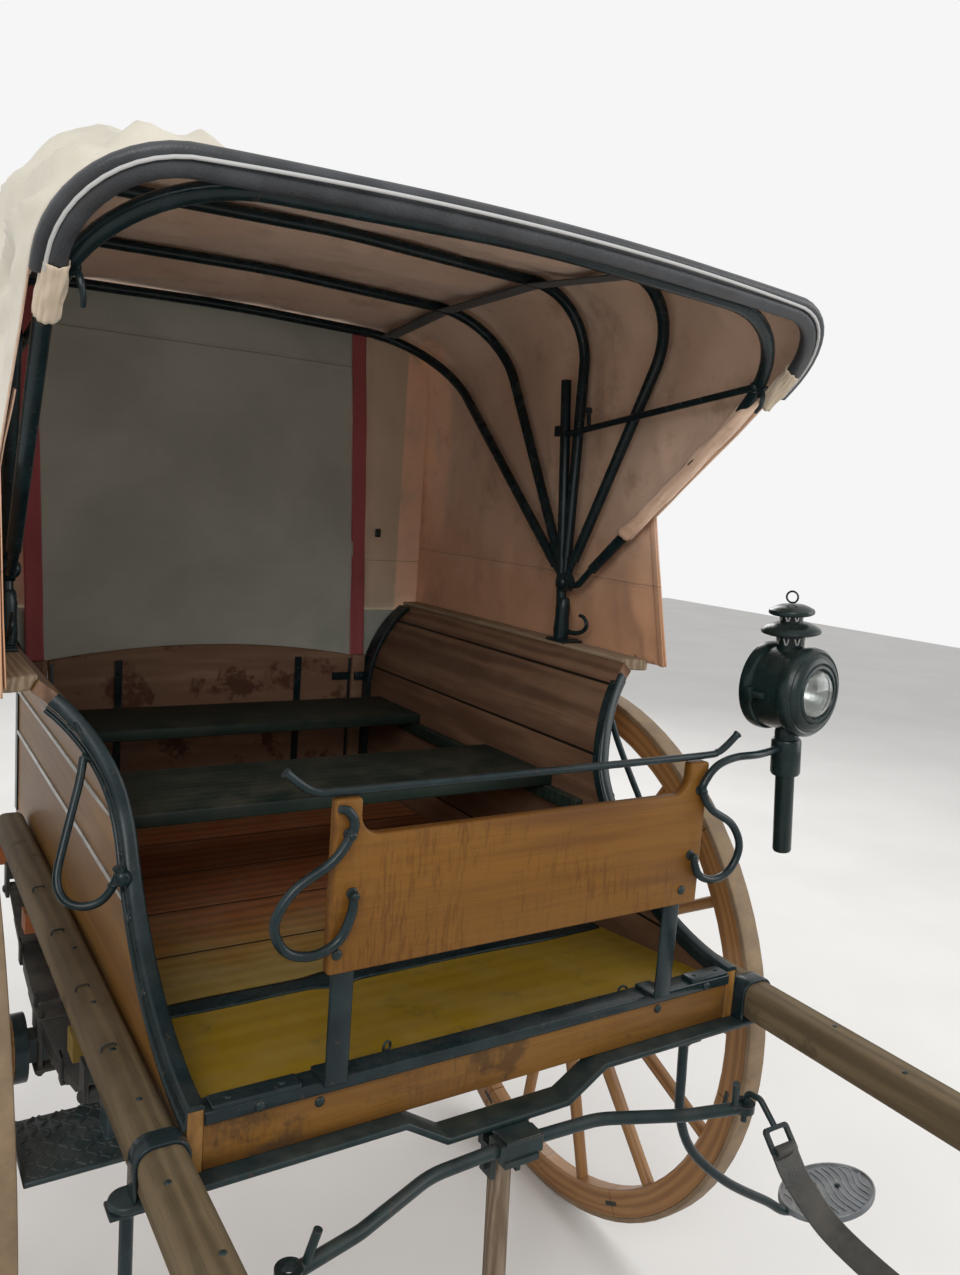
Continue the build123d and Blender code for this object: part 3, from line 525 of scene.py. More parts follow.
# painted or, with metal above 0, bare iron; chip shows at the edges
def makeIron(name, paint, chip, gloss=0.32, wear=0.5, dust=0.3, metal=0.0, rust=0.35):
    material, tree, shader, place = newMaterial(name)
    edge = useGroup(tree, wearGroup, Vector=place, Amount=wear, Width=0.0025)["Edge"]
    settled = useGroup(tree, dustGroup, Vector=place, Amount=dust)["Dust"]
    cloud = noiseAt(tree, place, 22.0, 6.0, 0.6)
    brush = noiseAt(tree, place, 160.0, 3.0, 0.6)
    tone = blendColour(tree, ramp(tree, cloud, 0.3, 0.75), paint, [c * 1.55 + 0.003 for c in paint])
    rusty = times(tree, ramp(tree, noiseAt(tree, place, 46.0, 7.0, 0.7), 0.6, 0.74), rust)
    tone = blendColour(tree, rusty, tone, (0.12, 0.05, 0.022))
    tone = blendColour(tree, edge, tone, chip)
    tone = blendColour(tree, times(tree, settled, 0.6), tone, (0.30, 0.25, 0.18))
    feed(tree, shader.inputs["Base Color"], tone)
    dull = maths(tree, "MAXIMUM", rusty, settled)
    rough = timesPlus(tree, dull, 0.4, timesPlus(tree, cloud, 0.22, gloss - 0.08), bounded=True)
    feed(tree, shader.inputs["Roughness"], rough)
    if metal:
        feed(tree, shader.inputs["Metallic"], times(tree, less(tree, 1.0, dull), metal, bounded=True))
    else:
        shader.inputs["Specular IOR Level"].default_value = 0.24
    bump(tree, shader, timesPlus(tree, brush, 0.35, timesPlus(tree, edge, -0.5, cloud)), 0.0005)
    return material


# tones are the cloth's own, its stains' and its threads' colour; weave is the number of threads
def makeCloth(name, tones, weave=130.0, spots=None, lightThrough=None, seams=(), low=None):
    material, tree, shader, place = newMaterial(name)
    flat = add(tree, "UVMap", uv_map="clothFlat").outputs[0]
    cloth = useGroup(tree, weaveGroup, Vector=flat, Scale=weave)
    tone = blendColour(tree, ramp(tree, cloth["Stain"], 0.3, 0.72), tones[0], tones[1])
    tone = blendColour(tree, times(tree, cloth["Thread"], 0.35), tone, tones[2])
    if spots:
        marks = ramp(tree, noiseAt(tree, flat, 21.0, 5.0, 0.75), 0.66, 0.76)
        tone = blendColour(tree, times(tree, marks, 0.7), tone, spots)
    if lightThrough:  # a painted glow down the rear corner, where the light comes through the cloth
        strip = times(tree, ramp(tree, axisOf(tree, place, "X"), 0.562, 0.568),
                      ramp(tree, axisOf(tree, place, "Y"), 0.640, 0.690))
        strip = times(tree, strip, ramp(tree, noiseAt(tree, place, 9.0, 5.0), 0.15, 0.55))
        tone = blendColour(tree, times(tree, strip, 0.8), tone, lightThrough)
    if low:  # the lower part of the sides takes a more orange tone, with darker smudges
        lowerShare = timesPlus(tree, noiseAt(tree, place, 6.0, 5.0, 0.6), 0.30, axisOf(tree, place, "Z"))
        tone = blendColour(tree, times(tree, ramp(tree, lowerShare, 2.02, 1.60), 0.95), tone, low)
        smudges = ramp(tree, noiseAt(tree, place, 8.0, 6.0, 0.7), 0.50, 0.72)
        tone = blendColour(tree, times(tree, smudges, 0.45), tone, [c * 0.55 for c in low])
    creases = add(tree, "TexNoise", noise_type="RIDGED_MULTIFRACTAL", normalize=True)
    folds = feedAll(tree, creases, Vector=stretched(tree, place, (1.0, 1.0, 0.55)), Scale=7.0,
                    Detail=2.0, Distortion=0.8)["Fac"]
    height = timesPlus(tree, folds, 9.0, cloth["Height"])
    for axis, where, wide in seams:  # a stitched seam across the cloth
        off = maths(tree, "ABSOLUTE", less(tree, axisOf(tree, place, axis), where), 0.0)
        line = times(tree, ramp(tree, off, wide, wide * 0.4), 0.55)
        tone = blendColour(tree, line, tone, [c * 0.4 for c in tones[2]])
        height = timesPlus(tree, ramp(tree, off, wide * 4, wide * 2), 1.5, height)
    feed(tree, shader.inputs["Base Color"], tone)
    feed(tree, shader.inputs["Roughness"], timesPlus(tree, cloth["Stain"], 0.1, 0.8, bounded=True))
    shader.inputs["Sheen Weight"].default_value = 0.2
    bump(tree, shader, height, 0.0005)
    return material


def makeLeather(name, tone, light, wear=0.5):
    material, tree, shader, place = newMaterial(name)
    voronoi = add(tree, "TexVoronoi", feature="SMOOTH_F1")
    cells = feedAll(tree, voronoi, Vector=place, Scale=420.0)["Distance"]
    edge = useGroup(tree, wearGroup, Vector=place, Amount=wear, Width=0.003)["Edge"]
    settled = useGroup(tree, dustGroup, Vector=place, Amount=0.35)["Dust"]
    cloud = noiseAt(tree, place, 14.0, 6.0, 0.6)
    colour = blendColour(tree, ramp(tree, cloud, 0.35, 0.7), tone, light)
    colour = blendColour(tree, edge, colour, [c * 2 + 0.03 for c in light])
    colour = blendColour(tree, times(tree, settled, 0.5), colour, (0.28, 0.24, 0.2))
    feed(tree, shader.inputs["Base Color"], colour)
    feed(tree, shader.inputs["Roughness"], timesPlus(tree, cloud, 0.3, 0.32, bounded=True))
    bump(tree, shader, timesPlus(tree, cells, 0.6, cloud), 0.0008)
    return material


def makeGlass(name, tint, rough, ior):
    material = bpy.data.materials.new(name)
    material.use_nodes = True
    shader = material.node_tree.nodes["Principled BSDF"]
    for label, value in (("Base Color", (*tint, 1)), ("Roughness", rough), ("Transmission Weight", 1.0),
                         ("IOR", ior)):
        shader.inputs[label].default_value = value
    return material


# woods: light grain, dark grain, worn edges
# the side, dash and front boards' tones are darker than the wood's own colour: painted shade, for the shade
# the front of the cart lies in
sideBoards = makeWood("sideBoards", (0.225, 0.112, 0.028), (0.145, 0.066, 0.015), (0.10, 0.058, 0.025),
                      along="Y", gloss=0.36, coat=0.1, boards=("Z", 0.135),
                      inside=((0.170, 0.095, 0.056), (0.092, 0.048, 0.028)))
dashBoards = makeWood("dashBoards", (0.175, 0.074, 0.009), (0.102, 0.037, 0.004), (0.070, 0.032, 0.008),
                      gloss=0.42, coat=0.05, dust=0.08, flecks=0.8)
frontBoards = makeWood("frontBoards", (0.180, 0.082, 0.013), (0.096, 0.039, 0.007), (0.040, 0.022, 0.010),
                       gloss=0.38, coat=0.05, wear=1.2, dust=0.15, flecks=0.6)
floorBoards = makeWood("floorBoards", (0.28, 0.085, 0.026), (0.165, 0.052, 0.018), (0.28, 0.15, 0.06),
                       boards=("Y", 0.19), gloss=0.45, wear=0.9, dust=0.3, fibre=0.18, scale=0.7,
                       fade=(-0.24, 0.20, (0.26, 0.18, 0.038), (0.215, 0.142, 0.028)))
toeBoards = makeWood("toeBoards", (0.25, 0.157, 0.010), (0.22, 0.135, 0.008), (0.13, 0.085, 0.015),
                     gloss=0.45, wear=1.1, dust=0.2, scale=0.5, depth=0.0003)
tailBoards = makeWood("tailBoards", (0.290, 0.180, 0.112), (0.180, 0.100, 0.060), (0.07, 0.026, 0.017),
                      gloss=0.5, wear=1.5)
benchBoards = makeWood("benchBoards", (0.010, 0.021, 0.016), (0.004, 0.009, 0.007), (0.04, 0.038, 0.030),
                       gloss=0.50, wear=0.7, dust=0.15, flecks=0.4)
greyShafts = makeWood("greyShafts", (0.155, 0.112, 0.060), (0.084, 0.059, 0.031), (0.055, 0.040, 0.022),
                      along="Y", gloss=0.6, wear=1.0, dust=0.22, scale=0.9, depth=0.0014, fibre=0.35)
greyPole = makeWood("greyPole", (0.24, 0.185, 0.13), (0.13, 0.09, 0.06), (0.10, 0.08, 0.06), along="Z",
                    gloss=0.7, wear=0.8, scale=2.6, depth=0.0012)
railBoards = makeWood("railBoards", (0.34, 0.26, 0.175), (0.20, 0.14, 0.09), (0.12, 0.08, 0.05), along="Y",
                      gloss=0.6, scale=2.0)
wheelWood = makeWood("wheelWood", (0.31, 0.152, 0.048), (0.19, 0.082, 0.025), (0.15, 0.09, 0.05),
                     gloss=0.36, coat=0.25, wear=0.8, dust=0.4, scale=2.0)
# felloes and spokes, whose grain runs along each of them
spokeWood = makeWood("spokeWood", (0.33, 0.165, 0.055), (0.21, 0.094, 0.030), (0.16, 0.095, 0.05),
                     gloss=0.36, coat=0.25, wear=0.6, dust=0.35, scale=1.3, grainFrom="grainPlace")

# irons: paint, chipped edges
ironPaint = makeIron("ironPaint", (0.0042, 0.0120, 0.0145), (0.060, 0.055, 0.048), gloss=0.22, dust=0.08)
ironWorn = makeIron("ironWorn", (0.0060, 0.0150, 0.0165), (0.12, 0.09, 0.07), wear=0.9, dust=0.16, rust=0.6)
treadPaint = makeIron("treadPaint", (0.016, 0.026, 0.028), (0.11, 0.11, 0.10), gloss=0.3, wear=0.9,
                      dust=0.15, rust=0.3)
springSteel = makeIron("springSteel", (0.020, 0.022, 0.022), (0.16, 0.13, 0.10), gloss=0.5, wear=0.8,
                       rust=0.8)
bareSteel = makeIron("bareSteel", (0.115, 0.125, 0.135), (0.45, 0.43, 0.40), gloss=0.42, wear=0.9,
                     metal=0.8, rust=0.5)
tyreIron = makeIron("tyreIron", (0.17, 0.115, 0.065), (0.16, 0.13, 0.10), gloss=0.6, wear=0.8, dust=0.45,
                    metal=0.2, rust=0.5)
beadSteel = makeIron("beadSteel", (0.36, 0.36, 0.35), (0.5, 0.5, 0.5), gloss=0.3, wear=0.4, metal=0.9,
                     rust=0.3)
lampPaint = makeIron("lampPaint", (0.0040, 0.0125, 0.0125), (0.05, 0.05, 0.04), gloss=0.22, wear=0.3,
                     dust=0.10, rust=0.15)

# cloths: fresh, stained, threads
canvasOut = makeCloth("canvasOut", ((0.76, 0.71, 0.60), (0.62, 0.57, 0.47), (0.50, 0.45, 0.36)),
                      spots=(0.42, 0.36, 0.27))
# the inner canvas's tones are lighter and warmer than the cloth's own: a painted glow of the light that comes
# through it, with a brighter painted glow at its rear corner
canvasIn = makeCloth("canvasIn", ((0.86, 0.63, 0.48), (0.70, 0.47, 0.33), (0.52, 0.35, 0.25)),
                     spots=(0.28, 0.16, 0.09), lightThrough=(0.98, 0.60, 0.38), low=(0.52, 0.265, 0.138),
                     seams=(("Z", 1.560, 0.0022),))
curtainCloth = makeCloth("curtainCloth", ((0.50, 0.52, 0.45), (0.38, 0.40, 0.345), (0.27, 0.285, 0.245)),
                         spots=(0.25, 0.25, 0.21), seams=(("Z", 2.062, 0.0022), ("Z", 1.238, 0.0018)))
# its rear corner has a painted glow, where the light comes through
quarterCloth = makeCloth("quarterCloth", ((0.68, 0.56, 0.42), (0.54, 0.43, 0.31), (0.42, 0.33, 0.24)),
                         lightThrough=(0.96, 0.60, 0.40), seams=(("Z", 1.520, 0.0018),))
redCloth = makeCloth("redCloth", ((0.47, 0.105, 0.112), (0.34, 0.073, 0.080), (0.22, 0.055, 0.061)),
                     weave=260.0, spots=(0.17, 0.10, 0.09))
strapCloth = makeCloth("strapCloth", ((0.030, 0.030, 0.028), (0.020, 0.022, 0.022), (0.012, 0.013, 0.013)),
                       weave=260.0)
pipingCloth = makeCloth("pipingCloth", ((0.58, 0.58, 0.57), (0.40, 0.40, 0.39), (0.24, 0.24, 0.24)),
                        weave=260.0)
bandLeather = makeLeather("bandLeather", (0.024, 0.027, 0.032), (0.045, 0.050, 0.058))
harnessLeather = makeLeather("harnessLeather", (0.012, 0.013, 0.011), (0.035, 0.034, 0.028), wear=0.9)
clearGlass = makeGlass("clearGlass", (0.9, 0.93, 0.92), 0.06, 1.3)
print("materials made")

nodeFinish = {
    sideBoards: "side_panel_left side_panel_right top_board_left top_board_right",
    dashBoards: "dashboard",
    frontBoards: "front_board",
    floorBoards: "floor floor_bearers",
    toeBoards: "toe_board",
    tailBoards: "tailboard rear_stiles",
    benchBoards: "bench_front bench_rear bench_ledgers",
    greyShafts: "shaft_left shaft_right",
    greyPole: "prop_pole",
    railBoards: "cap_rails",
    wheelWood: "wheel_rim_left wheel_rim_right wheel_hub_left wheel_hub_right",
    tyreIron: "wheel_tyre_left wheel_tyre_right",
    ironPaint: "sill_iron edge_irons rear_irons tail_irons tail_hinges dash_stays rein_rail "
               "scroll_bracket lamp_bracket shaft_straps hood_bows hood_posts hood_struts grab_handles "
               "floor_strip",
    treadPaint: "tread_plate",
    ironWorn: "crossbar swingletree_clevis swingletree trace_link prop_hanger axle",
    springSteel: "spring_left spring_right spring_hangers",
    bareSteel: "steps",
    canvasOut: "hood_roof hood_side_left hood_side_right hood_quarters",
    curtainCloth: "hood_curtain",
    redCloth: "curtain_straps",
    bandLeather: "hood_front_band",
    harnessLeather: "trace_strap",
    lampPaint: "lamp_body",
    clearGlass: "lamp_glass",
}
for material, names in nodeFinish.items():
    for nodeName in names.split():
        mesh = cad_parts[nodeName].data
        mesh.materials.clear()
        mesh.materials.append(material)
print("frame finished")


hood = {
    "half": 0.645,
    "shoulder": 0.16,
    "crownDrop": 0.014,
    "shares": (0.22, 0.30),  # of u, where the straight side and the shoulder's turn end
    "stations": ((-0.72, 2.090), (-0.31, 2.214), (0.03, 2.24), (0.43, 2.228), (0.81, 2.182)),
    "bowTops": (-0.31, 0.03, 0.43, 0.752),
    "bottom": 1.380,
    "pivotZ": 1.54,
    "frontPivot": -0.05,
    "frontLean": 49.1,
    "overhang": 0.016,
    "flap": ((-0.325, 1.380), (-0.246, 1.708), (-0.4585, 1.880)),
    "rear": 0.805,
    "girth": 3.06,
    "sag": 0.014,
    "wrinkle": 0.006,
    "crease": 0.005,
    "hang": (0.009, 0.005),
    "pleat": (0.004, 0.017, 0.010),
    "pleatCentre": (-0.50, 1.93),
    "onRail": 0.85,
    "columns": 230,
    "rows": 120,
    "thick": 0.003,
}
frontLean = radians(hood["frontLean"])
frontSlope = tan(frontLean)
bowUp = Vector((0, -sin(frontLean), cos(frontLean)))
bowAhead = Vector((0, -cos(frontLean), -sin(frontLean)))


def roofTop(y):
    stations = hood["stations"]
    y = clamp(y, stations[0][0], stations[-1][0])
    for (y0, z0), (y1, z1) in zip(stations, stations[1:]):
        if y <= y1:
            return mix(z0, z1, (y - y0) / (y1 - y0))


# how far the crown falls towards the shoulders at x
def crownFall(x):
    return hood["crownDrop"] * (abs(x) / (hood["half"] - hood["shoulder"])) ** 2


# point and outward direction on the section at y; u runs from the left rail over the top to the right
def hoodSection(u, y):
    half, shoulder = hood["half"], hood["shoulder"]
    top = roofTop(y)
    sideTop = top - hood["crownDrop"] - shoulder
    turnStart, turnEnd = hood["shares"]
    side = 1 if u < 0.5 else -1
    t = u if u < 0.5 else 1 - u
    if t < turnStart:
        z = mix(hood["bottom"], sideTop, t / turnStart)
        return Vector((side * half, y, z)), Vector((side, 0, 0))
    if t < turnEnd:
        angle = (t - turnStart) / (turnEnd - turnStart) * pi / 2
        normal = Vector((side * cos(angle), 0, sin(angle)))
        centre = Vector((side * (half - shoulder), y, sideTop))
        return centre + normal * shoulder, normal
    share = (t - turnEnd) / (0.5 - turnEnd)
    x = side * (half - shoulder) * (1 - share)
    return Vector((x, y, top - crownFall(x))), Vector((x * 0.08, 0, 1)).normalized()


# the y at which the section's point at u meets the front bow's plane, and then a length ahead of it
def onBowPlane(u, ahead):
    y = -0.6
    for _ in range(30):
        z = hoodSection(u, y)[0].z
        y = mix(y, hood["frontPivot"] - (z - hood["pivotZ"]) * frontSlope - ahead, 0.7)
    return y


def frontEdge(u):
    y = onBowPlane(u, hood["overhang"])
    z = hoodSection(u, y)[0].z
    for (y0, z0), (y1, z1) in zip(hood["flap"], hood["flap"][1:]):
        if z0 <= z < z1:
            y = mix(y0, y1, (z - z0) / (z1 - z0))
    return y


bowAngles = sorted([atan2(-y, roofTop(y) - hood["pivotZ"]) for y in hood["bowTops"]] + [frontLean])


# how far the roof sinks between two bows
def sagAt(point):
    angle = atan2(-point.y, point.z - hood["pivotZ"])
    for a, b in zip(bowAngles, bowAngles[1:]):
        if a <= angle <= b:
            wide = min(1.0, (b - a) / 0.5)
            return hood["sag"] * wide * sin(pi * (angle - a) / (b - a)) ** 2
    return 0.0


# gathers where the cloth is bunched round the right front corner, like a fan
def cornerPleats(point, v):
    corner = smooth((-0.33 - point.x) / 0.17) * smooth((point.z - 1.80) / 0.12)
    corner = corner * smooth((0.45 - v) / 0.4) * smooth(v / 0.03)
    centreX, centreZ = hood["pleatCentre"]
    around = atan2(point.z - centreZ, point.x - centreX)
    fan = abs(sin(around * 7 + 2.2 * noise.noise(Vector((around * 2, v * 5, 1)))))
    low, high, rough = hood["pleat"]
    return corner * (low + high * (1 - fan) ** 1.5 + rough * noise.noise(Vector((around * 5, v * 14, 3))))


def hoodPlace(u, v):
    y = mix(frontEdge(u), hood["rear"], v)
    point, normal = hoodSection(u, y)
    x, z = point.x, point.z
    held = smooth(v / 0.05)  # the front edge is sewn under the band
    inward = sagAt(point) * smooth((z - 1.62) / 0.4) * held
    wave = noise.noise(Vector((x * 3 + z * 3, y * 4.5, 2.0)))
    fine = noise.noise(Vector((x * 11, y * 13, z * 11 + 7)))
    crease = (1 - abs(noise.noise(Vector((x * 4 + y * 3, z * 3 - y * 5, 11.0))))) ** 9
    slack = (hood["wrinkle"] * (wave + 0.5 * fine) - hood["crease"] * crease) * held
    rail = smooth((y + 0.27) / 0.04) * smooth((1.50 - z) / 0.08)
    free = 1 - hood["onRail"] * rail  # the cloth is nailed flat along the rail
    broad, narrow = hood["hang"]
    folds = broad * sin(y * 21 + z * 4) + narrow * sin(y * 47 - z * 9)
    hang = free * smooth((1.75 - z) / 0.3) * smooth((1 - v) / 0.1) * folds
    point += normal * (slack * free + cornerPleats(point, v) - inward)
    return point - Vector((normal.x, 0, 0)) * max(0, hang) * 0.6, u * hood["girth"], y + 0.9


hoodCloth = clothSheet("hoodCloth", hoodPlace, hood["columns"], hood["rows"], [canvasIn, canvasOut],
                       hood["thick"])
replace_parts(hoodCloth, "hood_roof", "hood_side_left", "hood_side_right")
cutSheet(hoodCloth, hoodPlace)
print("hood cloth made")

# the padded band on the front bow, a thick roll with a lip, and a thin piping between them
band = {
    "low": 1.942,
    "ahead": 0.027,
    "rollInward": 0.024,
    "roll": (0.026, 0.024),
    "lipInward": 0.005,
    "lip": (0.018, 0.017),
    "piping": 0.0026,
    "pipingInward": 0.0125,
}


# a point on the front bow's plane: how far under the canvas and how far ahead of the plane
def bandPoint(u, inward, ahead):
    point, normal = hoodSection(u, onBowPlane(u, ahead / cos(frontLean)))
    return point - (Vector((1, 0, 0)) * normal.x + bowUp * normal.z).normalized() * inward


def bandLine(inward, ahead, steps=150):
    line = [bandPoint(i / steps, inward, ahead) for i in range(steps + 1)]
    return [point for point in line if point.z > band["low"]]


bm = bmesh.new()
for part in ("roll", "lip"):
    sweepRing(bm, ovalSection(*band[part]), bandLine(band[part + "Inward"], band["ahead"]), bowAhead)
frontBand = sweptObject(bm, "frontBand", "cart", bandLeather, 60)
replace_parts(frontBand, "hood_front_band")
bm = bmesh.new()
pipingLine = bandLine(band["pipingInward"], band["ahead"] + band["lip"][1] / 2)
sweepRing(bm, circleSection(band["piping"], 8), pipingLine, bowAhead)
sweptObject(bm, "bandPiping", "cart", pipingCloth, 60)

# a scrap of canvas folded round each end of the band, on one side of it; left, right
patch = {
    "low": (1.930, 1.902),
    "turn": ((85, 262), (-10, 190)),
    "length": 0.056,
    "radius": 0.0158,
    "crease": 0.0035,
}


def patchPlace(side):
    def place(u, v):
        low, high = 0.0, 0.25
        target = patch["low"][side < 0] + patch["length"] * v
        for _ in range(24):
            share = (low + high) / 2
            if bandPoint(share, 0.02, band["ahead"]).z < target:
                low = share
            else:
                high = share
        centre = bandPoint(share if side > 0 else 1 - share, band["rollInward"], band["ahead"])
        turn = radians(mix(*patch["turn"][side < 0], u))
        creases = noise.noise(Vector((cos(turn) * 3, sin(turn) * 3, v * 3 + side)))
        out = Vector((side, 0, 0)) * cos(turn) + bowAhead * sin(turn)
        ragged = 0.006 * noise.noise(Vector((turn * 2, side, 4))) * (v - 0.3)
        point = centre + out * (patch["radius"] + patch["crease"] * creases) + bowUp * ragged
        return point, u * 0.12, v * patch["length"]
    return place


sheetPair("cornerPatch", patchPlace, 36, 16, [quarterCloth], 0.0016,
          (frontBand, frontBand))

# below the band the canvas is folded back round the front bow, on the left only
foldEdge = {
    "low": 1.665,
    "high": 1.952,
    "radius": 0.0150,
    "crease": 0.0045,
    "flare": 0.006,
    "turn": (-20, 215),
    "bow": ((0.602, 1.57), (0.627, 2.03)),  # two points (x, z) of the bow's side
}


def foldPlace(u, v):
    z = mix(foldEdge["low"], foldEdge["high"], v)
    (lowX, lowZ), (highX, highZ) = foldEdge["bow"]
    x = mix(lowX, highX, (z - lowZ) / (highZ - lowZ))
    centre = Vector((x, hood["frontPivot"] - (z - hood["pivotZ"]) * frontSlope, z))
    turn = mix(*map(radians, foldEdge["turn"]), u)
    creases = noise.noise(Vector((cos(turn) * 1.5, sin(turn) * 1.5, v * 7 + 1)))
    flare = foldEdge["flare"] * smooth((0.2 - v) / 0.2) * smooth((u - 0.4) / 0.6)
    radius = foldEdge["radius"] + foldEdge["crease"] * creases + flare
    return centre + (Vector((cos(turn), 0, 0)) + bowAhead * sin(turn)) * radius, u * 0.08, v * 0.44


fold = clothSheet("edgeFoldLeft", foldPlace, 26, 60, [canvasIn], 0.0018)
cutSheet(fold, foldPlace)

curtain = {
    "low": (-0.4225, 0.4225),
    "high": (-0.457, 0.368),
    "hem": 1.214,
    "hemTop": 1.236,
    "lowY": 0.7775,
    "highY": 0.7655,
    "underRoof": 0.012,
    "seam": 2.062,
    "strapWidth": 0.038,
    "strapBehind": 0.0065,
}


def curtainPoint(x, v, bulge):
    z = mix(curtain["hem"], roofTop(curtain["highY"]) - crownFall(x) - curtain["underRoof"], v)
    y = mix(curtain["lowY"], curtain["highY"], smooth((z - 1.24) / 0.5))
    return Vector((x, y - bulge, z))


# the curtain's right edge (0) or left edge (1) at the height v
def curtainEdge(edge, v):
    return mix(curtain["low"][edge], curtain["high"][edge], v)


def curtainPlace(u, v):
    x = mix(curtainEdge(0, v), curtainEdge(1, v), u)
    loose = smooth((v - 0.08) / 0.3) * (1 - smooth((v - 0.93) / 0.07))
    folds = 0.009 * noise.noise(Vector((x * 3.5, v * 1.4, 4)))
    folds += 0.004 * noise.noise(Vector((x * 10 + v * 3, v * 5, 9)))
    folds += 0.004 * (1 - abs(noise.noise(Vector((x * 4 - v * 2, x * 2 + v * 6, 13))))) ** 8 - 0.001
    point = curtainPoint(x, v, (folds + 0.004) * loose)
    seam = 0.0016 * smooth(1 - abs(point.z - curtain["seam"] - 0.02 * x) / 0.006)
    hem = 0.0014 * (1 - smooth((point.z - curtain["hemTop"]) / 0.004))
    point.y -= seam + hem
    return point, x, point.z


def strapPlace(side):
    def place(u, v):
        x = curtainEdge(side > 0, v) + side * mix(-0.004, curtain["strapWidth"], u)
        x += 0.002 * noise.noise(Vector((3, v * 6, side)))
        wave = 0.003 * noise.noise(Vector((v * 4, side, 0))) + 0.0008 * cos(u * 2 * pi)
        return curtainPoint(x, v, curtain["strapBehind"] + wave), x, v
    return place


curtainSheet = clothSheet("curtainSheet", curtainPlace, 90, 110, [curtainCloth], 0.002)
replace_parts(curtainSheet, "hood_curtain")
cutSheet(curtainSheet, curtainPlace)
redStraps = sheetPair("redStrap", strapPlace, 6, 120, [redCloth], 0.002,
                      (curtainSheet, curtainSheet))
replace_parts(redStraps[0], "curtain_straps")

# the narrow panels between the straps and the sides
quarter = {
    "outer": 0.6435,
    "underStrap": 0.012,
    "low": 1.372,
    "y": 0.799,
    "underRoof": 0.008,
    "laced": 0.16,  # of the width, along the strap
}


def quarterPlace(side):
    def place(u, v):
        inner = abs(curtainEdge(side > 0, (v + 0.2) / 1.2)) + curtain["strapWidth"] - quarter["underStrap"]
        x = mix(inner, quarter["outer"], u)
        knee = roofTop(0.79) - hood["crownDrop"] - hood["shoulder"]
        reach = clamp((x - hood["half"] + hood["shoulder"]) / hood["shoulder"])
        z = mix(quarter["low"], knee + hood["shoulder"] * (1 - reach ** 2) ** 0.5 - quarter["underRoof"], v)
        wave = 0.004 * noise.noise(Vector((x * 9, z * 3, side * 5))) * smooth((0.96 - u) / 0.2)
        lace = 0.003 * (1 - smooth((u - quarter["laced"]) / 0.03)) * (0.75 + 0.25 * sin(z * 260))
        return Vector((side * x, quarter["y"] - lace - abs(wave), z)), x, z
    return place


quarters = sheetPair("quarter", quarterPlace, 24, 90, [quarterCloth, canvasOut], 0.002,
                     (hoodCloth, hoodCloth))
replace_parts(quarters[0], "hood_quarters")

# hems sewn along the front edges of the hanging sides
hem = {"along": (0.004, 0.150), "across": (0.002, 0.018), "inward": 0.0045, "stitch": 0.0008}


def hemPlace(side):
    def place(u, v):
        share = mix(*hem["along"], v)
        y = frontEdge(share) + mix(*hem["across"], u)
        point = hoodSection(share, y)[0]
        stitch = hem["stitch"] * smooth(1 - abs(u - 0.85) / 0.08)
        x = point.x - hem["inward"] + stitch - 0.003 * max(0, sin(y * 21 + 3))
        return Vector((side * x, y, point.z)), u * 0.03, point.z
    return place


sheetPair("flapHem", hemPlace, 8, 90, [canvasIn], 0.0018, (hoodCloth, hoodCloth))

# the curtain's cloth goes on behind the quarters and shows below them
wing = {"x": (0.43, 0.605), "z": (1.205, 1.374), "y": 0.7835, "wave": 0.003}


def wingPlace(side):
    def place(u, v):
        x = mix(*wing["x"], u)
        z = mix(*wing["z"], v)
        wave = wing["wave"] * noise.noise(Vector((x * 12, z * 6, side)))
        return Vector((side * x, wing["y"] + wave, z)), x, z
    return place


sheetPair("curtainWing", wingPlace, 16, 18, [curtainCloth], 0.002, quarters)

# a strap along each side of the roof, pulled straight under the bows
webbing = {"x": (0.452, 0.470), "y": (0.760, -0.560), "width": 0.042, "under": 0.031}


def webbingPlace(side):
    def place(u, v):
        y = mix(*webbing["y"], v)
        x = mix(*webbing["x"], v) + (u - 0.5) * webbing["width"]
        return Vector((side * x, y, roofTop(y) - crownFall(x) - webbing["under"])), u * webbing["width"], y
    return place


sheetPair("hoodWeb", webbingPlace, 4, 140, [strapCloth], 0.0016,
          ("hood_bows", "hood_bows"))
print("hood's smaller cloths made")

sideShape = {
    "half": 0.47,
    "flareStart": 1.15,
    "flareCentre": 0.757,
    "flareRadius": 0.287,
    "low": (-0.745, 0.933),
    "dip": (-0.488, 1.022),
    "rise": (-0.345, 1.200),
    "lean": (-0.312, 1.290),
    "top": (-0.250, 1.400),
}
trim = {
    "top": 1.373,
    "noseAhead": 0.001,
    "nose": (0.013, 0.024),
    "flangeAhead": -0.009,
    "flange": (0.020, 0.0032),
    "flangeOut": 0.0115,
    "beadAhead": -0.019,
    "bead": (0.010, 0.008),
    "beadOut": 0.0135,
    "boltHeights": (0.990, 1.064, 1.140, 1.236, 1.330),
    "boltRadius": 0.0065,
}


# the arc through three points given as (y, z)
def arcThrough(a, b, c, steps):
    (ay, az), (by, bz), (cy, cz) = a, b, c
    d = 2 * (ay * (bz - cz) + by * (cz - az) + cy * (az - bz))
    squares = [y * y + z * z for y, z in (a, b, c)]
    oy = (squares[0] * (bz - cz) + squares[1] * (cz - az) + squares[2] * (az - bz)) / d
    oz = (squares[0] * (cy - by) + squares[1] * (ay - cy) + squares[2] * (by - ay)) / d
    start = atan2(az - oz, ay - oy)
    turn = (atan2(cz - oz, cy - oy) - start + pi) % (2 * pi) - pi
    r = hypot(ay - oy, az - oz)
    angles = [start + turn * i / steps for i in range(steps + 1)]
    return [(oy + r * cos(angle), oz + r * sin(angle)) for angle in angles]


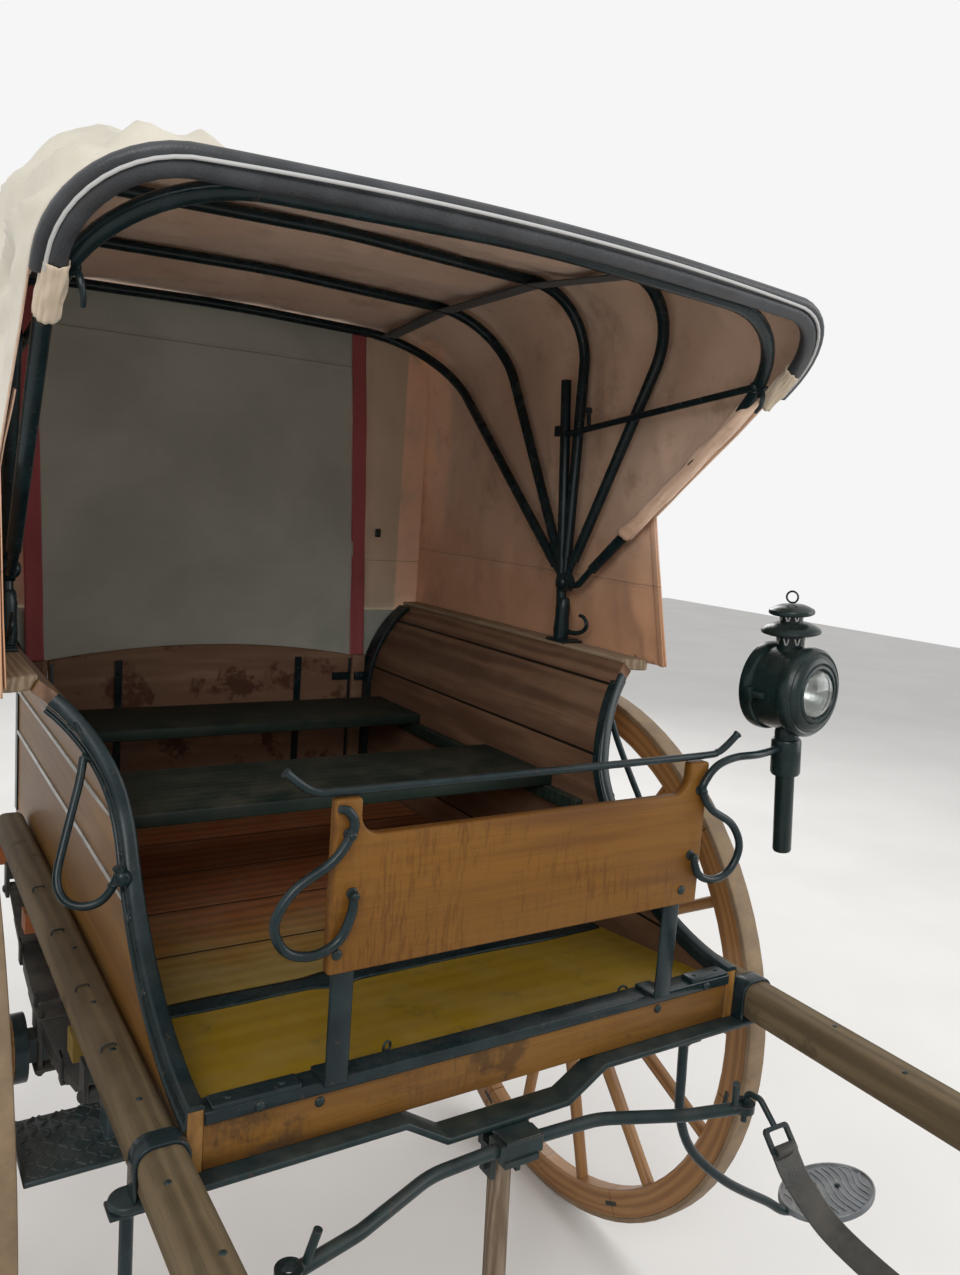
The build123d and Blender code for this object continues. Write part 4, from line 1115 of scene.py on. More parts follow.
# a point on the middle of a side board, moved outward, and the outward direction there
def sidePoint(side, y, z, out=0.0):
    rise = (z - sideShape["flareStart"]) / sideShape["flareRadius"]
    angle = asin(clamp(rise))
    normal = Vector((side * cos(angle), 0, -sin(angle)))
    flared = sideShape["flareCentre"] - sideShape["flareRadius"] * cos(angle)
    return Vector((side * (flared if rise > 0 else sideShape["half"]), y, z)) + normal * out, normal


frontCurve = arcThrough(sideShape["low"], sideShape["dip"], sideShape["rise"], 26)
frontCurve += arcThrough(sideShape["rise"], sideShape["lean"], sideShape["top"], 16)[1:]


def trimLine(side, ahead, out):
    line, ups = [], []
    for i, (y, z) in enumerate(frontCurve):
        (y0, z0), (y1, z1) = frontCurve[max(i - 1, 0)], frontCurve[min(i + 1, len(frontCurve) - 1)]
        if z > trim["top"]:
            break
        point, normal = sidePoint(side, y, z, out)
        line.append(point + Vector((0, z0 - z1, y1 - y0)).normalized() * ahead)
        ups.append(normal)
    return line, lambda i: ups[i]


# stands a part on a side board: its X points outward, its Z up the board
def onSide(side, y, z, out=0.010):
    point, normal = sidePoint(side, y, z, out)
    ahead = Vector((0, 1, 0))
    return axesAt(point, normal, ahead, normal.cross(ahead))


# irons along the sides' front edges: a rounded nose, a flange on both faces and a bead
bm = bmesh.new()
for side, _ in sides:
    for section, ahead, out in ((ovalSection(*trim["nose"]), trim["noseAhead"], 0.0),
                                (flatSection(*trim["flange"]), trim["flangeAhead"], trim["flangeOut"]),
                                (flatSection(*trim["flange"]), trim["flangeAhead"], -trim["flangeOut"]),
                                (ovalSection(*trim["bead"]), trim["beadAhead"], trim["beadOut"])):
        line, ups = trimLine(side, ahead, out)
        sweepRing(bm, section, line, ups)
    for height in trim["boltHeights"]:
        y = min(frontCurve, key=lambda point: abs(point[1] - height))[0] + 0.010
        point, normal = sidePoint(side, y, height, 0.013)
        addDome(bm, point, normal, trim["boltRadius"], 0.004)
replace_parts(sweptObject(bm, "edgeTrim", "cart", ironPaint), "edge_irons")

backward = Vector((0, 1, 0))
rearTrim = {
    "low": 0.872,
    "high": 1.376,
    # section, y, out from the board's middle, and a direction of its own where it has one
    "strips": ((flatSection(0.062, 0.010, 0.003), 0.737, -0.0148, None),
               (flatSection(0.024, 0.005), 0.7735, 0.0, backward),
               (ovalSection(0.008, 0.006), 0.7090, -0.0200, None),
               (flatSection(0.032, 0.004), 0.752, 0.0118, None)),
}
bm = bmesh.new()
for side, _ in sides:
    heights = [mix(rearTrim["low"], rearTrim["high"], i / 30) for i in range(31)]
    for section, y, out, own in rearTrim["strips"]:
        places = [sidePoint(side, y, z, out) for z in heights]
        sweepRing(bm, section, [point for point, _ in places], lambda i: own or places[i][1])
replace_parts(sweptObject(bm, "rearTrim", "cart", ironPaint), "rear_irons")

# steel beads along the outside of the boards: height, and y of the front end
moulding = {"runs": ((1.178, -0.292), (1.072, -0.384)), "from": 0.735, "radius": 0.0042, "out": 0.0115}
bm = bmesh.new()
for side, _ in sides:
    for height, last in moulding["runs"]:
        line = [sidePoint(side, mix(moulding["from"], last, i / 12), height, moulding["out"])[0]
                for i in range(13)]
        sweepRing(bm, circleSection(moulding["radius"], 10), line,
                  scale=lambda t: 1.0 - 0.4 * smooth((t - 0.96) / 0.04))
sweptObject(bm, "sideMouldings", "cart", beadSteel)

handle = {
    "radius": 0.0066,
    "line": ((0.526, -0.300, 1.278), (0.534, -0.312, 1.242), (0.548, -0.328, 1.196), (0.562, -0.345, 1.152),
             (0.572, -0.360, 1.117), (0.571, -0.372, 1.094), (0.559, -0.382, 1.078), (0.538, -0.390, 1.073),
             (0.517, -0.396, 1.080), (0.502, -0.399, 1.098), (0.494, -0.400, 1.118)),
    "eye": ((0, 0), (0.010, 0), (0.010, 0.004), (0.0066, 0.006), (0.0066, 0.020), (0, 0.020)),
    "knob": ((0, 0), (0.011, 0), (0.0125, 0.003), (0.0125, 0.014), (0.011, 0.018), (0.0075, 0.021),
             (0.0075, 0.030), (0, 0.030)),
}
bm = bmesh.new()
for side, _ in sides:
    points = [Vector((side * x, y, z)) for x, y, z in handle["line"]]
    sweepRing(bm, circleSection(handle["radius"]), smoothLine(points, 5), (0, 1, 0))
    addLathe(bm, handle["eye"], sidePoint(side, -0.300, 1.278, 0.010)[0], (side, 0, 0.2), 16)
    addBlock(bm, (0.000, -0.008, -0.074), (0.005, 0.008, 0.012), 0.002, matrix=onSide(side, -0.300, 1.272))
    addLathe(bm, handle["knob"], (side * 0.482, -0.402, 1.106), (side * 0.45, 0.05, 0.9), 20)
    addRing(bm, (side * 0.4985, -0.3995, 1.106), (side * 0.35, 0, 1), handle["radius"], 0.0035, 16)
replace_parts(sweptObject(bm, "grabHandles", "cart", ironPaint), "grab_handles")
print("side trim made")

# the bows, made thicker by their paint
bowPaint = 0.0025
bm = nodeMesh("hood_bows")
bm.normal_update()
for vert in bm.verts:
    vert.co += vert.normal * bowPaint
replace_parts(toObject(bm, "bowsWrapped", "cart", ironPaint, 50), "hood_bows")

# the tailboard, whose upper edge is arched, with its strips, bolts and catch
tail = {
    "half": 0.412,
    "rise": 0.036,
    "high": 1.235,
    "cuts": 24,
    "strip": (0.405, 0.004, (0.7455, 0.7485), (0.875, 1.236)),  # x, half width, y, z
    "bolts": (0.245, 0.7405, (0.92, 1.03, 1.21)),
    "latch": ((0.420, 0.738, 1.171), (0.452, 0.747, 1.195)),
    "latchBolts": (0.427, 0.443),
}
bm = nodeMesh("tailboard")
for i in range(1, tail["cuts"]):
    x = mix(-tail["half"], tail["half"], i / tail["cuts"])
    bmesh.ops.bisect_plane(bm, geom=bm.verts[:] + bm.edges[:] + bm.faces[:], dist=1e-6,
                           plane_co=(x, 0, 0), plane_no=(1, 0, 0))
for vert in bm.verts:
    if vert.co.z > tail["high"]:
        vert.co.z += tail["rise"] * (1 - (vert.co.x / tail["half"]) ** 2)
bevelEdges(bm, 0.003)
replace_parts(toObject(bm, "tailArch", "tail", tailBoards), "tailboard")
bm = bmesh.new()
for side, _ in sides:
    x, half, (y0, y1), (z0, z1) = tail["strip"]
    addBlock(bm, (side * x - half, y0, z0), (side * x + half, y1, z1), 0.001)
    x, y, heights = tail["bolts"]
    for height in heights:
        addDome(bm, (side * x, y, height), (0, -1, 0), 0.006, 0.0035)
toObject(bm, "tailStrips", "tail", ironPaint)
bm = bmesh.new()
low, high = tail["latch"]
addBlock(bm, low, high, 0.002)
for x in tail["latchBolts"]:
    addDome(bm, (x, low[1], (low[2] + high[2]) / 2), (0, -1, 0), 0.005, 0.003)
toObject(bm, "tailLatch", "cart", ironPaint)

for nodeName, material, slotName, width in (
        ("sill_iron", ironPaint, "ironwork", 0.0022), ("dash_stays", ironPaint, "ironwork", 0.003),
        ("shaft_straps", ironPaint, "ironwork", 0.0015), ("crossbar", ironWorn, "ironwork", 0.003),
        ("dashboard", dashBoards, "varnished_wood", 0.004),
        ("front_board", frontBoards, "varnished_wood", 0.002),
        ("bench_front", benchBoards, "bench_wood", 0.004), ("bench_rear", benchBoards, "bench_wood", 0.004),
        ("bench_ledgers", benchBoards, "bench_wood", 0.003), ("rear_stiles", tailBoards, "red_wood", 0.002)):
    dressed(nodeName, material, width)

# the rails' front ends are cut away slantwise and rounded
railEnd = {"cut": (0.616, -0.264, 1.39), "slant": (-0.45, -0.89, 0), "round": 0.005}
bm = nodeMesh("cap_rails")
for side, _ in sides:
    half = [vert for vert in bm.verts if vert.co.x * side > 0]
    half += [part for part in bm.edges[:] + bm.faces[:] if part.verts[0].co.x * side > 0]
    (x, y, z), (across, ahead, up) = railEnd["cut"], railEnd["slant"]
    bmesh.ops.bisect_plane(bm, geom=half, dist=1e-6, clear_outer=True, plane_co=(side * x, y, z),
                           plane_no=(side * across, ahead, up))
    bmesh.ops.holes_fill(bm, edges=[e for e in bm.edges if e.is_boundary])
bmesh.ops.recalc_face_normals(bm, faces=bm.faces)
bevelEdges(bm, railEnd["round"], 3)
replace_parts(toObject(bm, "capRails", "cart", railBoards), "cap_rails")

# rods in front of and beside the dashboard; the hooks' lines are (out, below) from their first bolt
rods = {
    "rail": 0.0058,
    "railY": -0.777,
    "railLine": ((0, 1.340), (0.20, 1.340), (0.322, 1.3405), (0.345, 1.3435), (0.362, 1.352), (0.386, 1.371)),
    "hook": 0.0064,
    "hookY": -0.795,
    "hookOut": 0.320,
    "hookLow": 1.340,
    "hookLine": ((-0.027, 0.132), (-0.024, 0.158), (-0.008, 0.190), (0.026, 0.203), (0.062, 0.191),
                 (0.078, 0.154), (0.055, 0.114), (0.006, 0.084), (-0.018, 0.052)),
    "hookEnd": ((-0.021, 0.034), (-0.012, 0.020), (0.000, 0.016)),
    "armLine": ((-0.012, 0.032), (0.010, 0.012), (0.048, 0.002), (0.100, 0.001), (0.184, 0.004)),
    "boltRadius": 0.0055,
    "shank": ((0, 0), (0.0078, 0), (0.0078, 0.002), (0.0055, 0.003), (0.0055, 0.008), (0, 0.008)),
}


# slightly thicker at both tips
def railSize(t):
    return 1 + 0.22 * (smooth((t - 0.985) / 0.015) + smooth((0.015 - t) / 0.015))


bm = bmesh.new()
half = smoothLine([(x, rods["railY"], z) for x, z in rods["railLine"]], 6)
wholeRail = [Vector((-p.x, p.y, p.z)) for p in reversed(half[1:])] + half
sweepRing(bm, circleSection(rods["rail"]), wholeRail, (0, 1, 0), railSize)
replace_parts(sweptObject(bm, "reinRail", "cart", ironPaint), "rein_rail")
for side, word, first, last, nodeName in ((-1, "Right", 0, rods["hookEnd"], "scroll_bracket"),
                                          (1, "Left", 1, rods["armLine"], "lamp_bracket")):
    def hookSize(t):  # thinner at the start, and at the free end on the right
        return 1 - 0.2 * smooth((t - 0.9) / 0.1) * (side < 0) - 0.18 * smooth((0.06 - t) / 0.06)
    bm = bmesh.new()
    points = [(side * (rods["hookOut"] + out), rods["hookY"] + 0.03 * smooth((out - 0.1) / 0.08),
               rods["hookLow"] - below) for out, below in rods["hookLine"][first:] + last]
    sweepRing(bm, circleSection(rods["hook"]), smoothLine(points, 6), (0, 1, 0), hookSize)
    for out, below in (rods["hookLine"][first], rods["hookLine"][-1]):
        x, z = side * (rods["hookOut"] + out), rods["hookLow"] - below
        addDome(bm, (x, rods["hookY"] - 0.005, z), (0, -1, 0), rods["boltRadius"], 0.0035)
        addLathe(bm, rods["shank"], (x, -0.787, z), (0, -1, 0), 20)
    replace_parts(sweptObject(bm, "scroll" + word, "cart", ironPaint), nodeName)

# bolts, ring eyes (x, y, turn) and corner plates along the sill
sill = {
    "bolts": ((-0.388, -0.751, 0.921), (-0.302, -0.745, 0.900), (0.302, -0.745, 0.900),
              (0.405, -0.751, 0.921), (-0.309, -0.787, 1.128), (0.285, -0.787, 1.125)),
    "eyes": ((-0.175, -0.690, 0.4), (0.262, -0.700, -0.3)),
    "eyeFoot": ((0, 0), (0.010, 0), (0.010, 0.0015), (0.003, 0.003), (0.003, 0.008), (0, 0.008)),
    "plates": ((-0.452, -0.330), (0.372, 0.455)),
}
bm = bmesh.new()
for bolt in sill["bolts"]:
    addDome(bm, bolt, (0, -1, 0), 0.0075, 0.004)
for x, y, turn in sill["eyes"]:
    addLathe(bm, sill["eyeFoot"], (x, y, 0.9055))
    addRing(bm, (x, y, 0.9195), (turn, -1, 0), 0.0075, 0.0021, 20)
toObject(bm, "rustyBolts", "cart", ironWorn)
bm = bmesh.new()
for low, high in sill["plates"]:
    addBlock(bm, (low, -0.751, 0.929), (high, -0.722, 0.9375), 0.003, 3)
    for share in (0.2, 0.8):
        addDome(bm, (mix(low, high, share), -0.737, 0.937), (0, 0, 1), 0.005, 0.0025)
toObject(bm, "cornerPlates", "cart", ironPaint)

# the bent iron strip between the floor and the toe board
floorEdge = {"half": 0.452, "y": (-0.410, -0.366), "z": (0.8765, 0.8735), "dent": -0.13}


def stripPlace(u, v):
    x = mix(-floorEdge["half"], floorEdge["half"], u)
    bumps = 0.010 * noise.noise(Vector((x * 5, 2, 0))) + 0.014 * smooth(1 - abs(x - floorEdge["dent"]) / 0.05)
    front, rear = floorEdge["y"]
    y = mix(front - bumps, rear + 0.5 * bumps, v)
    z = mix(*floorEdge["z"], v) + 0.0012 * noise.noise(Vector((x * 9, y * 9, 5)))
    return Vector((x, y, z)), x, y


floorStrip = clothSheet("floorStrip", stripPlace, 90, 5, [ironPaint], 0.004)
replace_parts(floorStrip, "floor_strip")
print("front irons made")

# lamp, turned with its leaning stem; the drum's axis runs forward
lamp = {
    "foot": (0.520, -0.765, 1.336),
    "lean": -6,
    "drum": 1.440,
    "turn": 6,
    "shell": ((0, -0.058), (0.030, -0.057), (0.054, -0.052), (0.067, -0.046), (0.0745, -0.0455),
              (0.0755, -0.041), (0.0755, -0.031), (0.0740, -0.027), (0.0705, -0.025), (0.0700, 0.024),
              (0.0715, 0.027), (0.0740, 0.029), (0.0752, 0.036), (0.0738, 0.045), (0.0690, 0.0505),
              (0.0650, 0.0495), (0.0625, 0.0530), (0.0575, 0.0575), (0.0520, 0.0585), (0.0495, 0.0560),
              (0.0470, 0.0585), (0.0430, 0.0590), (0.0410, 0.0560), (0.0405, 0.0480), (0.040, 0.0470)),
    "discs": ((0.0965, 0.0490, 1.0), (0.1285, 0.0375, 0.85)),  # height, radius, share of the full rise
    "necks": ((0.060, 0.100, 0.0225), (0.108, 0.131, 0.0185)),  # low, high, radius
    "vents": 8,
    "ventTilt": 0.30,
    # low corner, high corner, bevel: the hinge's leaf and bar, and the catch
    "blocks": (((-0.084, 0.014, -0.012), (-0.070, 0.030, 0.012), 0.002),
               ((-0.081, -0.008, -0.005), (-0.072, 0.034, 0.005), 0.0015),
               ((0.068, -0.020, -0.014), (0.080, 0.034, 0.014), 0.003)),
    "stem": ((0, -0.186), (0.0142, -0.186), (0.0158, -0.183), (0.0160, -0.048), (0.0232, -0.046),
             (0.0250, -0.042), (0.0250, 0.012), (0.0232, 0.016), (0.0200, 0.0175), (0.0200, 0.030),
             (0.0165, 0.036), (0.0165, 0.052)),
    "reflector": ((0, 0.004), (0.012, 0.006), (0.022, 0.013), (0.030, 0.024), (0.036, 0.036),
                  (0.0405, 0.050)),
    "glass": 0.0405,
    "glassAhead": 0.0545,
    "glassRise": 0.014,
}
stem = Matrix.Translation(lamp["foot"]) @ Matrix.Rotation(radians(lamp["lean"]), 4, "Y")
drum = stem @ Matrix.Translation((0, 0, lamp["drum"] - lamp["foot"][2]))
drum = drum @ Matrix.Rotation(radians(lamp["turn"]), 4, "Z")
frontward = (0, -1, 0)
bm = bmesh.new()
addLathe(bm, lamp["shell"], direction=frontward, steps=56, matrix=drum)
for z, radius, flat in lamp["discs"]:
    rim = [(0.015, z), (radius * 0.9, z - 0.002), (radius * 0.985, z), (radius, z + 0.003),
           (radius * 0.96, z + 0.0065)]
    crown = ((0.78, 0.012), (0.56, 0.016), (0.3, 0.0175), (0, 0.018))
    rim += [(radius * share, z + rise * flat) for share, rise in crown]
    addLathe(bm, rim, steps=40, matrix=drum)
for low, high, radius in lamp["necks"]:
    addLathe(bm, [(radius, low), (radius, high), (radius - 0.002, high)], steps=32, matrix=drum)
addRing(bm, (0, 0, 0.1555), (1, 0.3, 0), 0.0095, 0.0017, 28, drum)
for low, high, bevel in lamp["blocks"]:
    addBlock(bm, low, high, bevel, matrix=drum)
addLathe(bm, lamp["stem"], steps=32, matrix=stem)
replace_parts(toObject(bm, "lampShell", "cart", lampPaint), "lamp_body")
bm = bmesh.new()
for low, high, radius in lamp["necks"]:
    for n in range(lamp["vents"]):
        for tilt in (lamp["ventTilt"], -lamp["ventTilt"]):
            turn = Matrix.Rotation(2 * pi * n / lamp["vents"] + 0.3, 4, "Z")
            shift = Matrix.Translation((radius, tilt * 0.009, (low + high) / 2 + 0.003))
            place = drum @ turn @ shift @ Matrix.Rotation(-tilt, 4, "X")
            addBlock(bm, (-0.001, -0.0011, -0.006), (0.0008, 0.0011, 0.006), 0.0003, 1, place)
toObject(bm, "lampVents", "cart", beadSteel)
bm = bmesh.new()
addLathe(bm, lamp["reflector"], direction=frontward, steps=48, matrix=drum)
toObject(bm, "lampReflector", "cart", beadSteel)
bm = bmesh.new()
curve = [(lamp["glass"] * cos(a * pi / 14), lamp["glassAhead"] + lamp["glassRise"] * sin(a * pi / 14))
         for a in range(8)]
inside = [(r * 0.95, h - 0.002) for r, h in reversed(curve)]
addLathe(bm, curve + inside + curve[:1], direction=frontward, steps=48, matrix=drum)
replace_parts(toObject(bm, "lampLens", "cart", clearGlass), "lamp_glass")
print("lamp made")

step = {
    "rod": 0.0085,
    "rodLeft": ((0.366, -0.750, 0.838), (0.369, -0.750, 0.770), (0.376, -0.750, 0.690),
                (0.410, -0.755, 0.615), (0.486, -0.770, 0.543), (0.590, -0.780, 0.476),
                (0.650, -0.787, 0.440), (0.752, -0.792, 0.434)),
    "rodRight": ((0.552, -0.750, 0.838), (0.552, -0.750, 0.720), (0.552, -0.751, 0.640),
                 (0.562, -0.760, 0.560), (0.600, -0.775, 0.490), (0.654, -0.785, 0.445),
                 (0.752, -0.792, 0.434)),
    "pad": (0.752, -0.792, 0.446),
    "padRim": ((0, -0.006), (0.97, -0.006), (1, -0.004), (1, 0.005), (0.985, 0.0075), (0.955, 0.0075),
               (0.94, 0.004), (0, 0.004)),
    "size": (0.112, 0.070),
    "ribs": 13,
    "ribSize": (0.0044, 0.0040),
    "ribReach": 0.86,
}
long, short = step["size"]
for side, word in sides:
    bm = bmesh.new()
    padX, padY, padZ = side * step["pad"][0], step["pad"][1], step["pad"][2]
    points = [Vector((side * x, y, z)) for x, y, z in step["rod" + word]]
    sweepRing(bm, circleSection(step["rod"]), smoothLine(points, 6), (0.2, 1, 0.1))
    start = points[0].x
    addBlock(bm, (start - 0.024, -0.768, 0.832), (start + 0.024, -0.732, 0.838), 0.002)
    addDome(bm, (start, -0.752, 0.832), (0, 0, -1), 0.013, 0.010)
    for x in (-0.030, 0.030):
        addDome(bm, (padX + x, padY, 0.452), (0, 0, 1), 0.006, 0.003)
    addBlock(bm, (padX - 0.045, -0.804, 0.434), (padX + 0.045, -0.780, 0.440), 0.002)
    stepRod = sweptObject(bm, "stepRod" + word, "cart", ironPaint)
    if side > 0:
        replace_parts(stepRod, "steps")
    bm = bmesh.new()
    plate = Matrix.Translation((padX, padY, padZ)) @ Matrix.Diagonal((long, short, 1, 1))
    addLathe(bm, step["padRim"], steps=64, matrix=plate)
    for n in range(step["ribs"]):
        x = mix(-step["ribReach"], step["ribReach"], n / (step["ribs"] - 1)) * long
        reach = short * 0.92 * (1 - (x / long) ** 2) ** 0.5
        rib = [(x + 0.006 * sin(v * 4) + 0.018 * v, v * reach) for v in [i / 6 - 1 for i in range(13)]]
        rib = [Vector((padX + px, padY + py, padZ + 0.0042)) for px, py in rib
               if (px / long) ** 2 + (py / short) ** 2 < step["ribReach"]]
        if len(rib) > 3:
            sweepRing(bm, ovalSection(*step["ribSize"], 8), rib, (0, 0, 1))
    sweptObject(bm, "stepPad" + word, "cart", bareSteel)

# the tread plate's raised lozenges
tread = {
    "low": (-0.6485, -0.612),
    "high": (-0.513, -0.470),
    "top": 0.8035,
    "pitch": 0.0155,
    "lozenge": ((-0.0075, -0.0022, -0.001), (0.0075, 0.0022, 0.002)),
}
bm = nodeMesh("tread_plate")
bevelEdges(bm, 0.002)
columns, rows = [int((tread["high"][axis] - tread["low"][axis]) / tread["pitch"]) for axis in (0, 1)]
for i in range(columns):
    for j in range(rows):
        x, y = tread["low"][0] + (i + 0.75) * tread["pitch"], tread["low"][1] + (j + 0.75) * tread["pitch"]
        turn = Matrix.Rotation(pi / 4 if (i + j) % 2 else -pi / 4, 4, "Z")
        addBlock(bm, *tread["lozenge"], 0.0008, 1, Matrix.Translation((x, y, tread["top"])) @ turn)
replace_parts(toObject(bm, "treadPlate", "cart", treadPaint), "tread_plate")
print("steps made")

trace = {
    "size": (0.042, 0.006),
    "line": ((0.389, -0.9575, 0.7555), (0.389, -0.967, 0.743), (0.3885, -0.987, 0.7235),
             (0.388, -1.025, 0.7015), (0.3875, -1.067, 0.686), (0.387, -1.13, 0.678), (0.387, -1.187, 0.675)),
    "sleeve": ((0.0045, -0.0205), (0.0092, -0.0205), (0.0098, -0.019), (0.0098, 0.019), (0.0092, 0.0205),
               (0.0045, 0.0205), (0.0045, -0.0205)),
    "pin": (0.389, -0.9605, 0.7525),
}
bm = bmesh.new()
sweepRing(bm, flatSection(*trace["size"], 0.0015), smoothLine(trace["line"], 8), (-0.35, 0, 1))
addLathe(bm, trace["sleeve"], trace["pin"], (1, 0, 0), 20)
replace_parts(sweptObject(bm, "traceStrap", "swing", harnessLeather), "trace_strap")
print("front fittings made")

# wheels, built round the axle's line and then moved out to each side
wheel = {
    "plane": 0.680,
    "centre": 0.650,
    "felloes": 7,
    "felloeGap": 0.0022,
    "felloeMiddle": 0.61,
    "felloeProfile": ((0.5805, -0.0165), (0.5860, -0.0222), (0.5925, -0.0230), (0.6375, -0.0230),
                      (0.6375, 0.0230), (0.5925, 0.0230), (0.5860, 0.0222), (0.5805, 0.0165)),
    "tyreProfile": ((0.6385, -0.0225), (0.6470, -0.0225), (0.6488, -0.0210), (0.6500, -0.0165),
                    (0.6500, 0.0165), (0.6488, 0.0210), (0.6470, 0.0225), (0.6385, 0.0225),
                    (0.6385, -0.0225)),
    "spokes": 14,
    "spokePhase": 9,
    "spoke": (0.031, 0.042),
    "spokeRun": (0.070, 0.583),
    "hubProfile": ((0.0395, -0.1165), (0.0560, -0.1165), (0.0580, -0.1145), (0.0585, -0.0920),
                   (0.0640, -0.0880), (0.0700, -0.0700), (0.0770, -0.0480), (0.0810, -0.0440),
                   (0.0820, -0.0400), (0.0820, 0.0400), (0.0810, 0.0440), (0.0760, 0.0480), (0.0680, 0.0680),
                   (0.0590, 0.0920), (0.0545, 0.1060), (0.0500, 0.1080), (0.0495, 0.1300), (0.0480, 0.1315),
                   (0.0395, 0.1315), (0.0395, -0.1165)),
    "hoops": ((-0.1175, -0.0940, 0.0625), (0.1090, 0.1320, 0.0545), (-0.0470, -0.0330, 0.0845),
              (0.0330, 0.0470, 0.0845)),
    "strap": (0.609, 0.0232),
}


# stores where each point lies along the grain; place takes the angle round the axle and the radius
def grainAlong(piece, place):
    layer = piece.data.attributes.new("grainPlace", "FLOAT_VECTOR", "POINT")
    for vert in piece.data.vertices:
        across, up = -vert.co.y, vert.co.z - wheel["centre"]
        layer.data[vert.index].vector = (*place(atan2(across, up), hypot(across, up)), vert.co.x)


def felloeGrain(angle, radius):
    return wheel["felloeMiddle"] * angle, radius


def spokeGrain(angle, radius):
    pitch = 2 * pi / wheel["spokes"]
    first = radians(180 + wheel["spokePhase"])
    n = round((angle - first) / pitch)
    off = angle - first - n * pitch
    return radius * cos(off) + n * 0.7, radius * sin(off) + n * 0.3


# thickest at the hub, slimmer towards the rim and a little drawn in between
def spokeSize(t):
    return mix(1.0, 0.80, t) - 0.10 * sin(pi * t), mix(1.0, 0.66, smooth(t)) - 0.06 * sin(pi * t)


# joints between felloes fall midway between spokes on both wheels
def felloeTurn(side, n):
    angle = radians(wheel["spokePhase"]) + (n - 0.5) * 2 * pi / wheel["felloes"]
    return Matrix.Rotation(angle + pi / wheel["spokes"] * (side < 0), 4, "Z")


for side, word in ((1, "left"), (-1, "right")):
    body = "wheel_" + word
    axle = Matrix.Translation((side * wheel["plane"], 0, wheel["centre"]))
    sideways = axle @ facing((1, 0, 0))
    bm = bmesh.new()
    for n in range(wheel["felloes"]):
        part = bmesh.new()
        ring = [part.verts.new((r, 0, z)) for r, z in wheel["felloeProfile"]]
        edges = [part.edges.new((ring[i - 1], ring[i])) for i in range(len(ring))]
        angle = 2 * pi / wheel["felloes"] - wheel["felloeGap"] / wheel["felloeMiddle"]
        bmesh.ops.spin(part, geom=ring + edges, cent=(0, 0, 0), axis=(0, 0, 1), angle=angle, steps=12)
        bmesh.ops.holes_fill(part, edges=[e for e in part.edges if e.is_boundary])
        joinInto(bm, part, sideways @ felloeTurn(side, n))
    felloes = toObject(bm, "felloes" + word, body, spokeWood, 30)
    grainAlong(felloes, felloeGrain)
    bm = bmesh.new()
    line = [Vector((0, 0, mix(*wheel["spokeRun"], t))) for t in (0, 0.10, 0.24, 0.45, 0.70, 0.88, 1)]
    for n in range(wheel["spokes"]):
        part = bmesh.new()
        sweepRing(part, ovalSection(*wheel["spoke"], 12), line, (1, 0, 0), spokeSize)
        turn = Matrix.Rotation(radians(180 + wheel["spokePhase"] + n * 360 / wheel["spokes"]), 4, "X")
        joinInto(bm, part, axle @ turn)
    grainAlong(toObject(bm, "spokes" + word, body, spokeWood, 50), spokeGrain)
    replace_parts(felloes, "wheel_rim_" + word)
    bm = bmesh.new()
    addLathe(bm, wheel["tyreProfile"], direction=(1, 0, 0), steps=84, matrix=axle)
    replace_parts(toObject(bm, "tyre" + word, body, tyreIron, 30), "wheel_tyre_" + word)
    bm = bmesh.new()
    outward = axle @ Matrix.Diagonal((side, 1, 1, 1))
    addLathe(bm, wheel["hubProfile"], direction=(1, 0, 0), steps=40, matrix=outward)
    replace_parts(toObject(bm, "hub" + word, body, wheelWood, 40), "wheel_hub_" + word)
    bm = bmesh.new()
    for low, high, radius in wheel["hoops"]:
        hoop = [(radius - 0.006, low), (radius - 0.001, low), (radius, low + 0.001), (radius, high - 0.001),
                (radius - 0.001, high), (radius - 0.006, high), (radius - 0.006, low)]
        addLathe(bm, hoop, direction=(1, 0, 0), steps=40, matrix=outward)
    toObject(bm, "hubHoops" + word, body, ironPaint)
    bm = bmesh.new()
    for n in range(wheel["felloes"]):  # a strap over each joint, on both faces
        for face in (1, -1):
            radius, out = wheel["strap"]
            place = sideways @ felloeTurn(side, n) @ Matrix.Translation((radius, 0, face * out))
            addBlock(bm, (-0.005, -0.020, -0.0012), (0.005, 0.020, 0.0012), 0.0008, 1, place)
            for y in (-0.014, 0.014):
                addBlock(bm, (-0.003, y - 0.003, -0.0024), (0.003, y + 0.003, 0.0024), 0.0012, 1, place)
    toObject(bm, "felloeStraps" + word, body, ironWorn)
print("wheels made")

